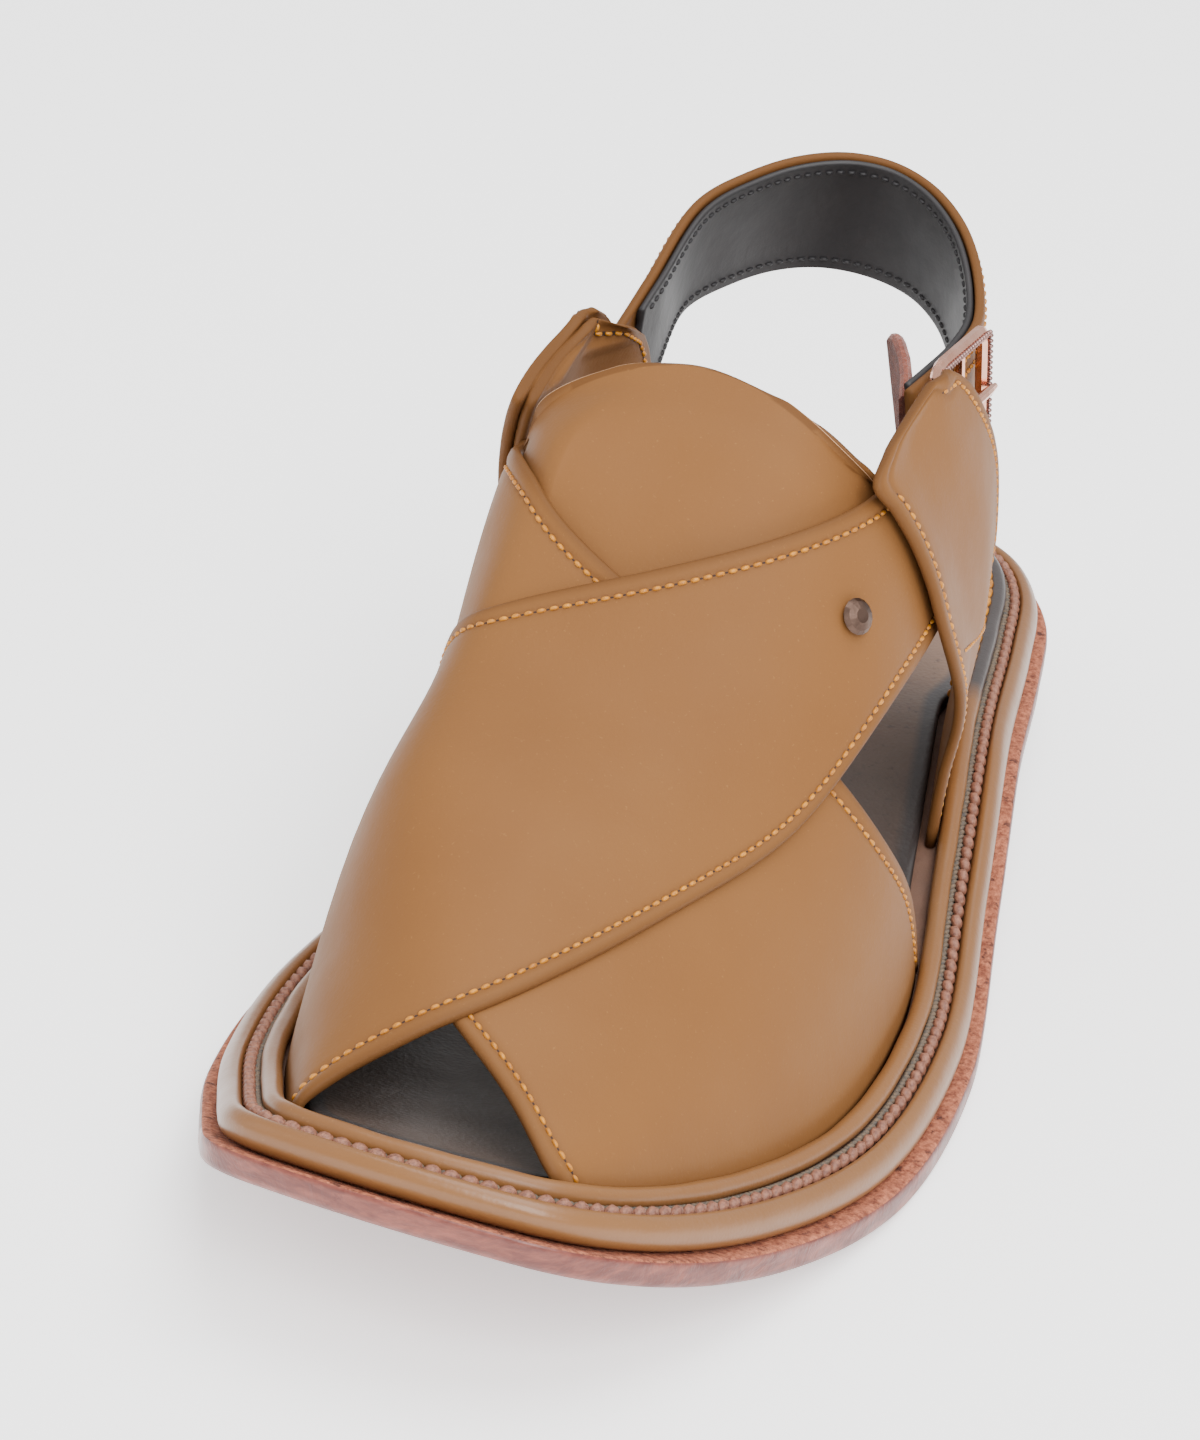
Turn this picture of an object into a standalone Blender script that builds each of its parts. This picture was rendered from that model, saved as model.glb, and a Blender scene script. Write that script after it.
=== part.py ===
"""Peshawari chappal, left shoe: sole layers, crossed straps, side panels, back strap and buckle.

The row frame has +X to the wearer's left (the outer side), -Y at the toe and +Z up.
Tables are in millimetres, with y counted back from the toe.
"""

import math

import bmesh
import bpy
import numpy as np

MM = 0.001
COLLECTION = "peshawari_chappal"

# Sole
TOE_SPRING, SPRING_END = 26.4, 96.0
HEEL_HEIGHT, WAIST_START, WAIST_END = 13.8, 124.0, 205.0
OUTSOLE_THICK = 5.2
TOE_CORNERS = {"medial": ((-30.2, -0.6), (-20.6, 9.4)), "lateral": ((31.3, 1.0), (24.3, 13.4))}
CORNER_INSET = 13.0
TOE_BULGE = 5.0
HEEL_TIP = (-5.0, 290.0)
# y, medial x, lateral x of the outsole's edge
SIDE_ROWS = [
    (18, -39.1, 42.5),
    (45, -50.2, 53.2),
    (80, -57.1, 61.4),
    (120, -53.9, 60.6),
    (165, -45.2, 50.4),
    (210, -42.0, 39.6),
    (243, -41.0, 33.2),
    (266, -37.0, 27.4),
    (280, -28.6, 18.8),
    (287.6, -17.0, 7.2),
]
SIDE_STEPS, CROSS_STEPS = 28, 4
# inset from the outsole's edge, height over its bottom
OUTSOLE_EDGE = [(1.0, 0.0), (0.0, 0.9), (0.0, 4.5), (0.7, OUTSOLE_THICK)]
# inset, height over the outsole's top
MIDSOLE_EDGE = [
    (4.2, 0.3), (2.9, 1.4), (2.6, 3.0), (3.0, 4.8), (4.2, 6.3), (5.3, 6.8),
    (6.2, 6.3), (6.6, 4.6), (9.2, 4.6), (9.7, 5.4), (13.6, 5.4),
]
CORD = {"inset": 7.9, "height": 5.9, "radius": 0.9}
PIPING = {"inset": 11.2, "height": 7.7, "radius": 1.75}
INSOLE_EDGE = [(17.1, 5.75), (16.5, 6.2), (16.5, 8.0), (17.3, 8.6)]
BREAST_Y = 214.0
HEEL_EDGE_INSET, HEEL_CHAMFER, BREAST_HOLLOW = 1.2, 0.9, 4.0
HEEL_STEPS, BREAST_STEPS = 16, 6
# between touching pieces
GAP = 0.3

# Upper: a foot-shaped surface, cut into straps
FOOT_INSET, FOOT_HEIGHT, FOOT_LOW = 13.3, 9.0, 5.8
# y, ridge x, ridge z, medial flare, lateral flare, fullness of the shoulder
LAST_ROWS = [
    (8, 3.4, 36.0, 1.0, 3.0, 0.41),
    (35, -7.2, 48.9, 2.4, -3.6, 0.33),
    (70, -22.3, 65.3, 1.4, -14.0, 0.49),
    (105, -27.4, 77.1, 0.1, -14.0, 0.66),
    (140, -26.5, 116.8, -24.0, -6.0, 0.64),
    (165, -21.0, 134.0, -38.0, -1.0, 0.52),
    (190, -14.0, 150.0, -43.0, 5.0, 0.40),
    (215, -12.0, 158.0, -45.0, 5.0, 0.38),
]
FLARE_HEIGHT = 0.62
# leather's thickness, how far a strap over another is raised, and how far a panel's front edge stands up
WALL, LAYER, FRONT_LIFT = 2.0, 1.4, 1.9
# every strap runs on below the welt line to this t, and one unit of t counts as this many millimetres
SKIRT, T_LENGTH = 1.1, 60.0
STRAP_ROWS, STRAP_COLUMNS = 24, 6
# part of the strap's width from its edge, and how far its faces draw together up to there
EDGE_STEPS = ((0.005, 0.8), (0.03, 0.25))
# (y, t) along the surface: t is -1 at the medial welt, 0 on the ridge and 1 at the lateral welt
TOP_FRONT = [
    (12.5, -1.0), (13, -0.80), (17, -0.58), (20, -0.40), (25, -0.11), (32, 0.16), (42, 0.32),
    (54, 0.43), (71, 0.51), (93, 0.56), (115, 0.61), (134, 0.67), (148, 0.715), (160, 0.745), (173, 0.77),
]
TOP_REAR = [
    (128, -1.0), (124, -0.90), (120, -0.76), (114, -0.56), (107, -0.25), (106, -0.05), (109, 0.03),
    (114, 0.12), (118, 0.19), (123, 0.27), (129, 0.35), (137, 0.43), (148, 0.50), (160, 0.545), (173, 0.58),
]
UNDER_FRONT = [
    (14.5, 1.0), (13.5, 0.80), (14, 0.62), (17, 0.51), (20, 0.41), (24, 0.28), (29, 0.08), (40, -0.22),
    (62, -0.46), (90, -0.62), (118, -0.71), (128, -0.745), (139, -0.79), (156, -0.85), (180, -0.90),
]
UNDER_REAR = [
    (139, 1.0), (134, 0.92), (128, 0.86), (122, 0.78), (118, 0.69), (115, 0.60), (112, 0.44),
    (112, 0.26), (114, 0.11), (116, 0.06), (120, -0.04), (126, -0.26), (138, -0.47), (150, -0.58),
    (162, -0.63), (180, -0.68),
]
# height over the ground, y of the front edge, y of the rear edge; None stands for the welt
MEDIAL_PANEL = [
    (None, 166, 203), (36, 161.5, 204.5), (45, 160, 204.5), (55, 159, 204.5), (64, 158, 204),
    (73, 155.5, 203), (82, 152.5, 200.5), (89, 149.5, 197), (93, 147.5, 193.5), (96, 147.5, 189.5),
    (97.7, 158, 187), (99.3, 168, 184), (101.5, 174, 180),
]
LATERAL_PANEL = [
    (None, 168, 212), (35, 166.5, 213), (44, 165, 213), (54, 160, 213), (62, 154.5, 212.5), (70, 151, 211),
    (78, 149.5, 208), (86, 147.5, 202), (92, 145.5, 196.5), (96.5, 144, 192.5), (100.3, 152, 189),
    (103, 164, 185.5), (105.3, 174, 181.5),
]
# offset of each panel's outer face: just behind its front edge, and at its rear edge
MEDIAL_OFFSETS, LATERAL_OFFSETS = (1.5, 0.4), (3.0, 2.0)
PANEL_ROWS, PANEL_COLUMNS = 16, 6
# free edge of the tongue from its medial to its lateral end: x, y, height
TONGUE_ARCH = [
    (-41.5, 146.5, 90.5), (-38.2, 144, 98.8), (-27.5, 146.5, 106.4), (-15.5, 150.4, 109.4),
    (-3, 150.4, 108.4), (5, 148.3, 106.2), (15, 147, 101.2), (19.6, 147.7, 96), (25.5, 148.5, 87),
]
TONGUE_FRONT_Y, TONGUE_THICK = 96.0, 1.8
# range of t over which x grows steadily
ARCH_T = (-0.62, 0.90)
# t of the tongue's sides at its front, and how far behind the straps it leaves the last's surface
TONGUE_T, TONGUE_MARGIN, TONGUE_LEAST = (-0.50, 0.50), 1.0, 0.5
TONGUE_COLUMNS = 23
# parts of the way from its front to its free edge
TONGUE_ROWS = (0, 0.11, 0.22, 0.33, 0.44, 0.55, 0.65, 0.74, 0.82, 0.89, 0.945, 0.98, 1.0)

# Back strap: ellipse-like curves, as centre x, half width, centre y, reach back and three height terms
STRAP_TOP = {
    "cx": -13.5, "half": 33.2, "cy": 197.7, "reach": 59.7,
    "z": 94.6, "rise": 16.3, "tilt": -5.1, "power": 2.0,
}
STRAP_LOW = {
    "cx": -17.0, "half": 34.0, "cy": 199.0, "reach": 62.0,
    "z": 73.0, "rise": 12.8, "tilt": -3.0, "power": 2.3,
}
# the band's outer end through the buckle: y, x at its top, top height, x at its low edge, low height
STRAP_OUTER_END = [
    (188.0, 14.6, 97.0, 16.2, 79.6), (200.0, 16.0, 97.4, 17.4, 78.4), (212.0, 16.9, 97.8, 18.2, 76.6),
]
# its inner end under the panel: y, top height, low height
STRAP_INNER_END = [(204.0, 99.5, 76.0), (193.0, 95.0, 75.0), (182.0, 91.0, 74.5)]
LOOP_START, LOOP_END = 0.16 * math.pi, 0.84 * math.pi
HEEL_CENTRE = (-14.0, 200.0, 0.0)
STRAP_WALL, LINING_WALL = 1.9, 1.3
STRAP_UNDER_PANEL = -2.1
STRAP_STEPS = 28

# Buckle
BUCKLE = {
    "x": 18.1, "y": 203.5, "z": 89.5, "long": 25.0, "tall": 24.0, "bar": 3.2, "depth": 2.6, "corner": 4.0,
    "lean": 0.12, "turn": -0.08,
}
PIN = {"radius": 0.95, "length": 11.0}
# the pad's front and rear edge, each from its low to its high corner
PAD_FRONT = [(13.6, 199.0, 69.0), (11.0, 196.0, 92.0)]
PAD_REAR = [(6.3, 216.5, 72.0), (2.9, 207.5, 101.0)]
PAD_THICK, PAD_ROUND = 2.2, 0.30
STUD = {"y": 130.0, "t": 0.515, "radius": 3.2, "sides": 16, "lift": 0.35}
# part of the radius, height
STUD_PROFILE = [(0.92, 0.0), (1.0, 0.4), (0.8, 1.1), (0.4, 1.6)]

LEATHER_TAN = (0.434, 0.224, 0.107)
LEATHER_DARK = (0.075, 0.055, 0.047)
LINING_BLACK = (0.012, 0.012, 0.014)
SOLE_RED = (0.22, 0.075, 0.042)
HEEL_DARK = (0.045, 0.026, 0.02)
CORD_BROWN = (0.26, 0.12, 0.085)
SUEDE = (0.17, 0.055, 0.035)
COPPER = (0.62, 0.38, 0.30)
BRONZE = (0.16, 0.12, 0.105)


def clear_scene():
    for obj in list(bpy.data.objects):
        bpy.data.objects.remove(obj)
    bpy.context.scene.collection.children.link(bpy.data.collections.new(COLLECTION))


def linked(name, data):
    """A new object in the shoe's own collection."""
    obj = bpy.data.objects.new(name, data)
    bpy.data.collections[COLLECTION].objects.link(obj)
    return obj


def material(name, color, roughness, metallic=0.0):
    made = bpy.data.materials.new(name)
    made.use_nodes = True
    shader = made.node_tree.nodes["Principled BSDF"]
    shader.inputs["Base Color"].default_value = (*color, 1.0)
    shader.inputs["Roughness"].default_value = roughness
    shader.inputs["Metallic"].default_value = metallic
    made.diffuse_color = (*color, 1.0)
    return made


def solid(name, points, faces, look, smooth=True):
    """One mesh object from points in millimetres, with its normals turned outwards."""
    mesh = bpy.data.meshes.new(name)
    bm = bmesh.new()
    made = [bm.verts.new(np.asarray(p, float) * MM) for p in points]
    for face in faces:
        bm.faces.new([made[i] for i in face])
    bmesh.ops.recalc_face_normals(bm, faces=bm.faces)
    if bm.calc_volume(signed=True) < 0:
        bmesh.ops.reverse_faces(bm, faces=bm.faces)
    bm.to_mesh(mesh)
    bm.free()
    mesh.polygons.foreach_set("use_smooth", [smooth] * len(mesh.polygons))
    mesh.materials.append(look)
    return linked(name, mesh)


def spline(points, per_span=12):
    """Centripetal Catmull-Rom curve through the points."""
    points = np.asarray(points, float)
    ends = np.vstack([2 * points[0] - points[1], points, 2 * points[-1] - points[-2]])
    out = []
    for i in range(1, len(ends) - 2):
        p0, p1, p2, p3 = ends[i - 1:i + 3]
        t1 = np.linalg.norm(p1 - p0) ** 0.5
        t2 = t1 + np.linalg.norm(p2 - p1) ** 0.5
        t3 = t2 + np.linalg.norm(p3 - p2) ** 0.5
        t = np.linspace(t1, t2, per_span, endpoint=False)[:, None]
        a1 = (t1 - t) / t1 * p0 + t / t1 * p1
        a2 = (t2 - t) / (t2 - t1) * p1 + (t - t1) / (t2 - t1) * p2
        a3 = (t3 - t) / (t3 - t2) * p2 + (t - t2) / (t3 - t2) * p3
        b1 = (t2 - t) / t2 * a1 + t / t2 * a2
        b2 = (t3 - t) / (t3 - t1) * a2 + (t - t1) / (t3 - t1) * a3
        out.append((t2 - t) / (t2 - t1) * b1 + (t - t1) / (t2 - t1) * b2)
    return np.vstack(out + [points[-1:]])


def resample(points, count):
    """The polyline again, as count points at equal spacing."""
    points = np.asarray(points, float)
    run = np.r_[0, np.cumsum(np.linalg.norm(np.diff(points, axis=0), axis=1))]
    at = np.linspace(0, run[-1], count)
    return np.stack([np.interp(at, run, points[:, k]) for k in range(points.shape[1])], axis=1)


def sole_bottom(y):
    """Height of the outsole's underside: toe spring, flat tread, then the rise onto the heel block."""
    y = np.asarray(y, float)
    spring = np.clip((SPRING_END - y) / SPRING_END, 0, 2)
    waist = np.clip((y - WAIST_START) / (WAIST_END - WAIST_START), 0, 1)
    return TOE_SPRING * spring ** 2 + HEEL_HEIGHT * waist * waist * (3 - 2 * waist)


def sole_top(y):
    return sole_bottom(y) + OUTSOLE_THICK


def halves(inset):
    """Medial and lateral half of the sole's outline at an inset, each from toe corner to heel tip."""
    rows = np.array(SIDE_ROWS, float)
    loop = np.vstack([rows[:, [1, 0]], [HEEL_TIP], rows[::-1][:, [2, 0]]])
    corner = {
        side: np.array(out) + (np.array(inner) - np.array(out)) * inset / CORNER_INSET
        for side, (out, inner) in TOE_CORNERS.items()
    }
    before = np.vstack([[TOE_CORNERS["medial"][0]], loop])
    after = np.vstack([loop, [TOE_CORNERS["lateral"][0]]])
    ahead, behind = after[1:] - loop, loop - before[:-1]
    lengths = np.linalg.norm(ahead, axis=1)[:, None], np.linalg.norm(behind, axis=1)[:, None]
    tangent = ahead / lengths[0] ** 2 + behind / lengths[1] ** 2
    tangent /= np.linalg.norm(tangent, axis=1)[:, None]
    inward = np.stack([tangent[:, 1], -tangent[:, 0]], axis=1)
    moved = loop + inward * inset
    whole = spline(np.vstack([[corner["medial"]], moved, [corner["lateral"]]]))
    tip = int(np.argmax(whole[:, 1]))
    return resample(whole[:tip + 1], SIDE_STEPS + 1), resample(whole[tip:][::-1], SIDE_STEPS + 1)


def front_edge(inset):
    """The blunt toe's edge from the medial to the lateral corner."""
    medial, lateral = halves(inset)
    s = np.linspace(0, 1, CROSS_STEPS + 1)[:, None]
    bulge = TOE_BULGE * (1 - 0.25 * inset / CORNER_INSET)
    return medial[0] * (1 - s) + lateral[0] * s - np.array([[0, 1]]) * 4 * s * (1 - s) * bulge


def ring(inset):
    """The whole outline: front edge, lateral side, heel tip, medial side."""
    medial, lateral = halves(inset)
    return np.vstack([front_edge(inset), lateral[1:], medial[1:-1][::-1]])


def raised(outline, height):
    """Outline points with a height: a number, or a function of y."""
    z = height(outline[:, 1]) if callable(height) else np.full(len(outline), float(height))
    return np.column_stack([outline, z])


def stacked(rings):
    """Points and side faces of rings with one point count."""
    count = len(rings[0])
    faces = []
    for k in range(len(rings) - 1):
        for i in range(count):
            j = (i + 1) % count
            faces.append((k * count + i, k * count + j, (k + 1) * count + j, (k + 1) * count + i))
    return np.vstack(rings), faces


def cap(outline, first, height, start):
    """Grid face over a ring that starts at index first; new points are numbered from start."""
    points, faces = [], []
    lateral = [first + CROSS_STEPS + i for i in range(SIDE_STEPS + 1)]
    medial = [first] + [first + len(outline) - i for i in range(1, SIDE_STEPS)]
    rows = [[first + j for j in range(CROSS_STEPS + 1)]]
    front = outline[:CROSS_STEPS + 1]
    chord = front[0] + (front[-1] - front[0]) * np.linspace(0, 1, CROSS_STEPS + 1)[:, None]
    for i in range(1, SIDE_STEPS):
        a, b = outline[medial[i] - first], outline[lateral[i] - first]
        keep = max(0.0, 1 - i / 4.0)
        row = [medial[i]]
        for j in range(1, CROSS_STEPS):
            p = a + (b - a) * j / CROSS_STEPS + (front[j] - chord[j]) * keep
            row.append(start + len(points))
            points.append((p[0], p[1], height(p[1])))
        rows.append(row + [lateral[i]])
    for one, two in zip(rows, rows[1:]):
        faces += [(one[j], one[j + 1], two[j + 1], two[j]) for j in range(CROSS_STEPS)]
    faces += [(rows[-1][j], rows[-1][j + 1], lateral[-1]) for j in range(CROSS_STEPS)]
    return points, faces


def slab(name, edge, base, look):
    """Solid between its lowest and highest ring; edge holds (inset, height over base)."""
    rings = [raised(ring(inset), lambda y, h=h: base(y) + h) for inset, h in edge]
    points, faces = stacked(rings)
    points = list(points)
    for k, h in ((0, edge[0][1]), (len(rings) - 1, edge[-1][1])):
        more, made = cap(rings[k][:, :2], k * len(rings[0]), lambda y, h=h: base(y) + h, len(points))
        points += more
        faces += made
    return solid(name, points, faces, look)


def wire(name, path, radius, sides_level, look):
    """Round closed rope along a path in millimetres."""
    curve = bpy.data.curves.new(name, "CURVE")
    curve.dimensions = "3D"
    curve.bevel_depth = radius * MM
    curve.bevel_resolution = sides_level
    line = curve.splines.new("POLY")
    line.points.add(len(path) - 1)
    for point, place in zip(line.points, path):
        point.co = (*(np.asarray(place, float) * MM), 1.0)
    line.use_cyclic_u = True
    curve.materials.append(look)
    return linked(name, curve)


def as_mesh(obj):
    """The object's evaluated shape as a mesh object of the same name."""
    bpy.context.view_layer.update()
    graph = bpy.context.evaluated_depsgraph_get()
    mesh = bpy.data.meshes.new_from_object(obj.evaluated_get(graph))
    mesh.polygons.foreach_set("use_smooth", [True] * len(mesh.polygons))
    name = obj.name
    bpy.data.objects.remove(obj)
    return linked(name, mesh)


def welt_line(inset, height):
    """Closed path on the sole's top at an inset."""
    return raised(ring(inset), lambda y: sole_top(y) + height)


def heel_block(look):
    """D-shaped block under the outsole's rear, flat on the ground."""
    def outline(inset):
        sides = []
        for half in halves(inset):
            start = [[np.interp(BREAST_Y, half[:, 1], half[:, 0]), BREAST_Y]]
            sides.append(resample(np.vstack([start, half[half[:, 1] > BREAST_Y + 3]]), HEEL_STEPS + 1))
        side = np.vstack([sides[0], sides[1][::-1][1:]])
        s = np.linspace(0, 1, BREAST_STEPS + 1)[1:-1, None]
        breast = side[-1] * (1 - s) + side[0] * s + np.array([[0, 1]]) * 4 * s * (1 - s) * BREAST_HOLLOW
        return np.vstack([side, breast])

    low, high = outline(HEEL_EDGE_INSET + HEEL_CHAMFER), outline(HEEL_EDGE_INSET)
    rings = [raised(low, 0.0), raised(high, HEEL_CHAMFER), raised(high, lambda y: sole_bottom(y) - GAP)]
    points, faces = stacked(rings)
    count = len(rings[0])
    faces += [tuple(range(count))[::-1], tuple(range(2 * count, 3 * count))]
    return solid("heel_block", points, faces, look)


def table(rows):
    """Columns of a table against its first column, as one smooth function."""
    rows = np.asarray(rows, float)
    x, values = rows[:, 0], rows[:, 1:]
    slope = np.gradient(values, x, axis=0)

    def at(y):
        y = np.clip(np.asarray(y, float), x[0], x[-1])
        k = np.clip(np.searchsorted(x, y, side="right") - 1, 0, len(x) - 2)
        h = x[k + 1] - x[k]
        s = ((y - x[k]) / h)[..., None]
        h = h[..., None]
        return ((1 + 2 * s) * (1 - s) ** 2 * values[k] + s * (1 - s) ** 2 * h * slope[k]
                + s * s * (3 - 2 * s) * values[k + 1] + s * s * (s - 1) * h * slope[k + 1])
    return at


LAST = table(LAST_ROWS)
FOOT_LINES = [side[:, ::-1] for side in halves(FOOT_INSET)]


def last_point(y, t):
    """Point of the foot-shaped surface: a cubic from each welt line up to the ridge."""
    y, t = np.broadcast_arrays(np.asarray(y, float), np.asarray(t, float))
    ridge_x, ridge_z, medial, lateral, full = np.moveaxis(LAST(y), -1, 0)
    side = np.where(t < 0, -1.0, 1.0)
    foot = np.where(t < 0, np.interp(y, *FOOT_LINES[0].T), np.interp(y, *FOOT_LINES[1].T))
    flare = np.where(t < 0, medial, lateral)
    low = sole_top(y) + FOOT_HEIGHT
    s = np.clip(1 - np.abs(t), 0, 1)
    rise = ridge_z - low
    terms = ((1 - s) ** 3, 3 * (1 - s) ** 2 * s, 3 * (1 - s) * s ** 2, s ** 3)
    xs = (foot, foot + flare, ridge_x + side * full * np.abs(foot - ridge_x), ridge_x)
    zs = (low, low + FLARE_HEIGHT * rise, ridge_z, ridge_z)
    x = sum(a * b for a, b in zip(terms, xs))
    z = sum(a * b for a, b in zip(terms, zs))
    z = z - np.clip(np.abs(t) - 1, 0, 1) / (SKIRT - 1) * (FOOT_HEIGHT - FOOT_LOW)
    return np.stack([x, y, z], axis=-1)


def last_normal(y, t):
    """Outward unit normal of the surface, level at the welt so that the foot stays flat."""
    level = np.clip((np.abs(t) - 0.9) / 0.1, 0, 1)
    t = np.clip(t, -0.999, 0.999)
    dy = last_point(y + 1.0, t) - last_point(y - 1.0, t)
    dt = last_point(y, t + 0.012) - last_point(y, t - 0.012)
    normal = np.cross(dt, dy)
    normal[..., 2] *= 1 - level
    return normal / np.linalg.norm(normal, axis=-1)[..., None]


def t_at_height(y, z, side):
    """The t whose point lies at height z on one side (-1 medial, 1 lateral)."""
    near, far = 0.02, 1.0
    for _ in range(30):
        middle = (near + far) / 2
        if last_point(y, side * middle)[2] > z:
            near = middle
        else:
            far = middle
    return side * (near + far) / 2


def t_at_place(y, x):
    """The t whose point lies at x, on the upper part of the section at y."""
    t = np.linspace(*ARCH_T, 305)
    return float(np.interp(x, last_point(y, t)[:, 0], t))


def skin(name, grid_y, grid_t, outer, inner, look):
    """Closed sheet over a grid of (y, t), between two offsets from the surface."""
    base, normal = last_point(grid_y, grid_t), last_normal(grid_y, grid_t)
    outer = np.broadcast_to(outer, grid_y.shape)[..., None]
    inner = np.broadcast_to(inner, grid_y.shape)[..., None]
    return sheet(name, base + normal * outer, base + normal * inner, look)


def sheet(name, top, bottom, look):
    """Solid between two grids of points with rounded-off sides."""
    rows, columns = top.shape[:2]
    points = np.vstack([top.reshape(-1, 3), bottom.reshape(-1, 3)])
    half = rows * columns
    faces = []
    for i in range(rows - 1):
        for j in range(columns - 1):
            a, d = i * columns + j, (i + 1) * columns + j
            b, c = a + 1, d + 1
            faces += [(a, b, c, d), (half + d, half + c, half + b, half + a)]
    rim = [j for j in range(columns)] + [i * columns + columns - 1 for i in range(1, rows)]
    rim += [(rows - 1) * columns + j for j in range(columns - 2, -1, -1)]
    rim += [i * columns for i in range(rows - 2, 0, -1)]
    for k in range(len(rim)):
        a, b = rim[k], rim[(k + 1) % len(rim)]
        faces.append((b, a, half + a, half + b))
    return solid(name, points, faces, look)


def between(front, rear, along, across):
    """Grid of (y, t) between two edges; along rows from the first points to the last."""
    scale = np.array([1, T_LENGTH])
    one, two = (resample(spline(np.array(edge) * scale, 8), along) / scale for edge in (front, rear))
    v = rounded_columns(across)[None, :]
    y = one[:, 0:1] * (1 - v) + two[:, 0:1] * v
    t = one[:, 1:2] * (1 - v) + two[:, 1:2] * v
    return y, t, v


def rounded_columns(across):
    """Fractions across a strap, with a close pair at each edge for its rounding."""
    return np.r_[0, 0.012, np.linspace(0.045, 0.955, across), 0.988, 1.0]


def edge_rounding(v):
    """How far the outer and inner faces draw together at the strap's edges."""
    near = np.minimum(v, 1 - v)
    (rim, most), (shoulder, less) = EDGE_STEPS
    return np.where(near < rim, most, np.where(near < shoulder, less, 0.0))


def smoothstep(x):
    x = np.clip(x, 0, 1)
    return x * x * (3 - 2 * x)


def strap(name, front, rear, look, high):
    """A crossing strap, flush at its welt end and raised to high from a third of its length on."""
    y, t, v = between(front, rear, STRAP_ROWS, STRAP_COLUMNS)
    end = 1.0 if t[0, 0] > 0 else -1.0
    y = np.vstack([y[:1], y])
    t = np.vstack([np.full_like(t[:1], end * SKIRT), t])
    u = np.r_[0, np.linspace(0, 1, STRAP_ROWS)][:, None]
    lift = high * smoothstep(u / 0.3)
    rounding = edge_rounding(v)
    return skin(name, y, t, lift - rounding, lift - WALL + rounding * 0.5, look)


def panel(name, rows, side, look, offsets):
    """A side panel standing on the welt, lifted over the strap at its front edge."""
    fraction = rounded_columns(PANEL_COLUMNS)
    levels = np.arange(len(rows))
    fine = np.linspace(0, 1, PANEL_ROWS)
    run = spline([(10 * level, front, rear) for level, (_, front, rear) in enumerate(rows)], 6)
    level = fine * levels[-1]
    y_front = np.interp(level, run[:, 0] / 10, run[:, 1])
    y_rear = np.interp(level, run[:, 0] / 10, run[:, 2])
    grid_y = y_front[:, None] * (1 - fraction) + y_rear[:, None] * fraction
    grid_t = np.full_like(grid_y, side)
    for i, j in np.ndindex(*grid_y.shape):
        heights = [float(sole_top(grid_y[i, j])) + FOOT_HEIGHT] + [height for height, _, _ in rows[1:]]
        if i > 0:
            grid_t[i, j] = t_at_height(grid_y[i, j], np.interp(level[i], levels, heights), side)
    grid_y = np.vstack([grid_y[:1], grid_y])
    grid_t = np.vstack([np.full_like(grid_t[:1], side * SKIRT), grid_t])
    up = np.r_[0, fine][:, None]
    rear = smoothstep((fraction - 0.55) / 0.4)
    outer = (offsets[0] * (1 - rear) + offsets[1] * rear) * smoothstep(up / 0.35)
    outer = outer + FRONT_LIFT * smoothstep(1 - fraction / 0.32) * smoothstep(up / 0.25)
    rounding = np.maximum(edge_rounding(fraction), np.where(up > 0.99, 0.8, 0.0))
    return skin(name, grid_y, grid_t, outer - rounding, outer - WALL + rounding * 0.5, look)


def join(target, others):
    """Union of solids that overlap, as one node."""
    for other in others:
        cut = target.modifiers.new("join", "BOOLEAN")
        cut.operation, cut.solver, cut.object = "UNION", "EXACT", other
        other.hide_render = True
        other.display_type = "WIRE"
        bpy.context.view_layer.update()
        graph = bpy.context.evaluated_depsgraph_get()
        mesh = bpy.data.meshes.new_from_object(target.evaluated_get(graph))
        target.modifiers.clear()
        target.data = mesh
    for other in others:
        bpy.data.objects.remove(other)
    return target


def rear_edge(table_rows, t):
    """y of a strap's rear edge at a given t."""
    known = np.array(sorted((place, y) for y, place in table_rows))
    return np.interp(t, *known.T)


def tongue(look):
    """Rounded tab under both straps, free at its rear edge."""
    edge = resample(spline(TONGUE_ARCH), TONGUE_COLUMNS)
    edge_t = np.array([t_at_place(y, x) for x, y, _ in edge])
    rows = np.array(TONGUE_ROWS)[:, None]
    front_t = np.linspace(*TONGUE_T, TONGUE_COLUMNS)
    y = TONGUE_FRONT_Y * (1 - rows) + edge[None, :, 1] * rows
    t = front_t * (1 - rows) + edge_t[None] * rows
    on_last = last_point(y, t) - last_normal(y, t) * (WALL + 0.5)
    leaves = np.maximum(rear_edge(UNDER_REAR, t), rear_edge(TOP_REAR, t))
    run = edge[None, :, 1] - leaves - TONGUE_MARGIN
    free = smoothstep((y - leaves - TONGUE_MARGIN) / np.maximum(run, TONGUE_LEAST))
    free = np.where(run > TONGUE_LEAST, free, 0)
    outer = on_last + (edge - on_last[-1])[None] * free[..., None]
    normal = np.cross(np.gradient(outer, axis=1), np.gradient(outer, axis=0))
    normal /= np.linalg.norm(normal, axis=-1)[..., None]
    drop = np.where(rows > 0.999, 0.5, 0.0)[..., None]
    return sheet("tongue", outer - normal * drop, outer - normal * (TONGUE_THICK - drop), look)


def strap_line(curve, turn):
    """Point of the back strap's edge; turn runs from 0 at the lateral side to pi at the medial side."""
    c, s = np.cos(turn), np.sin(turn)
    bend = lambda w: np.sign(w) * np.abs(w) ** (2 / curve["power"])
    return np.stack([curve["cx"] + curve["half"] * bend(c), curve["cy"] + curve["reach"] * bend(s),
                     curve["z"] + curve["rise"] * s + curve["tilt"] * c], axis=-1)


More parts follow.
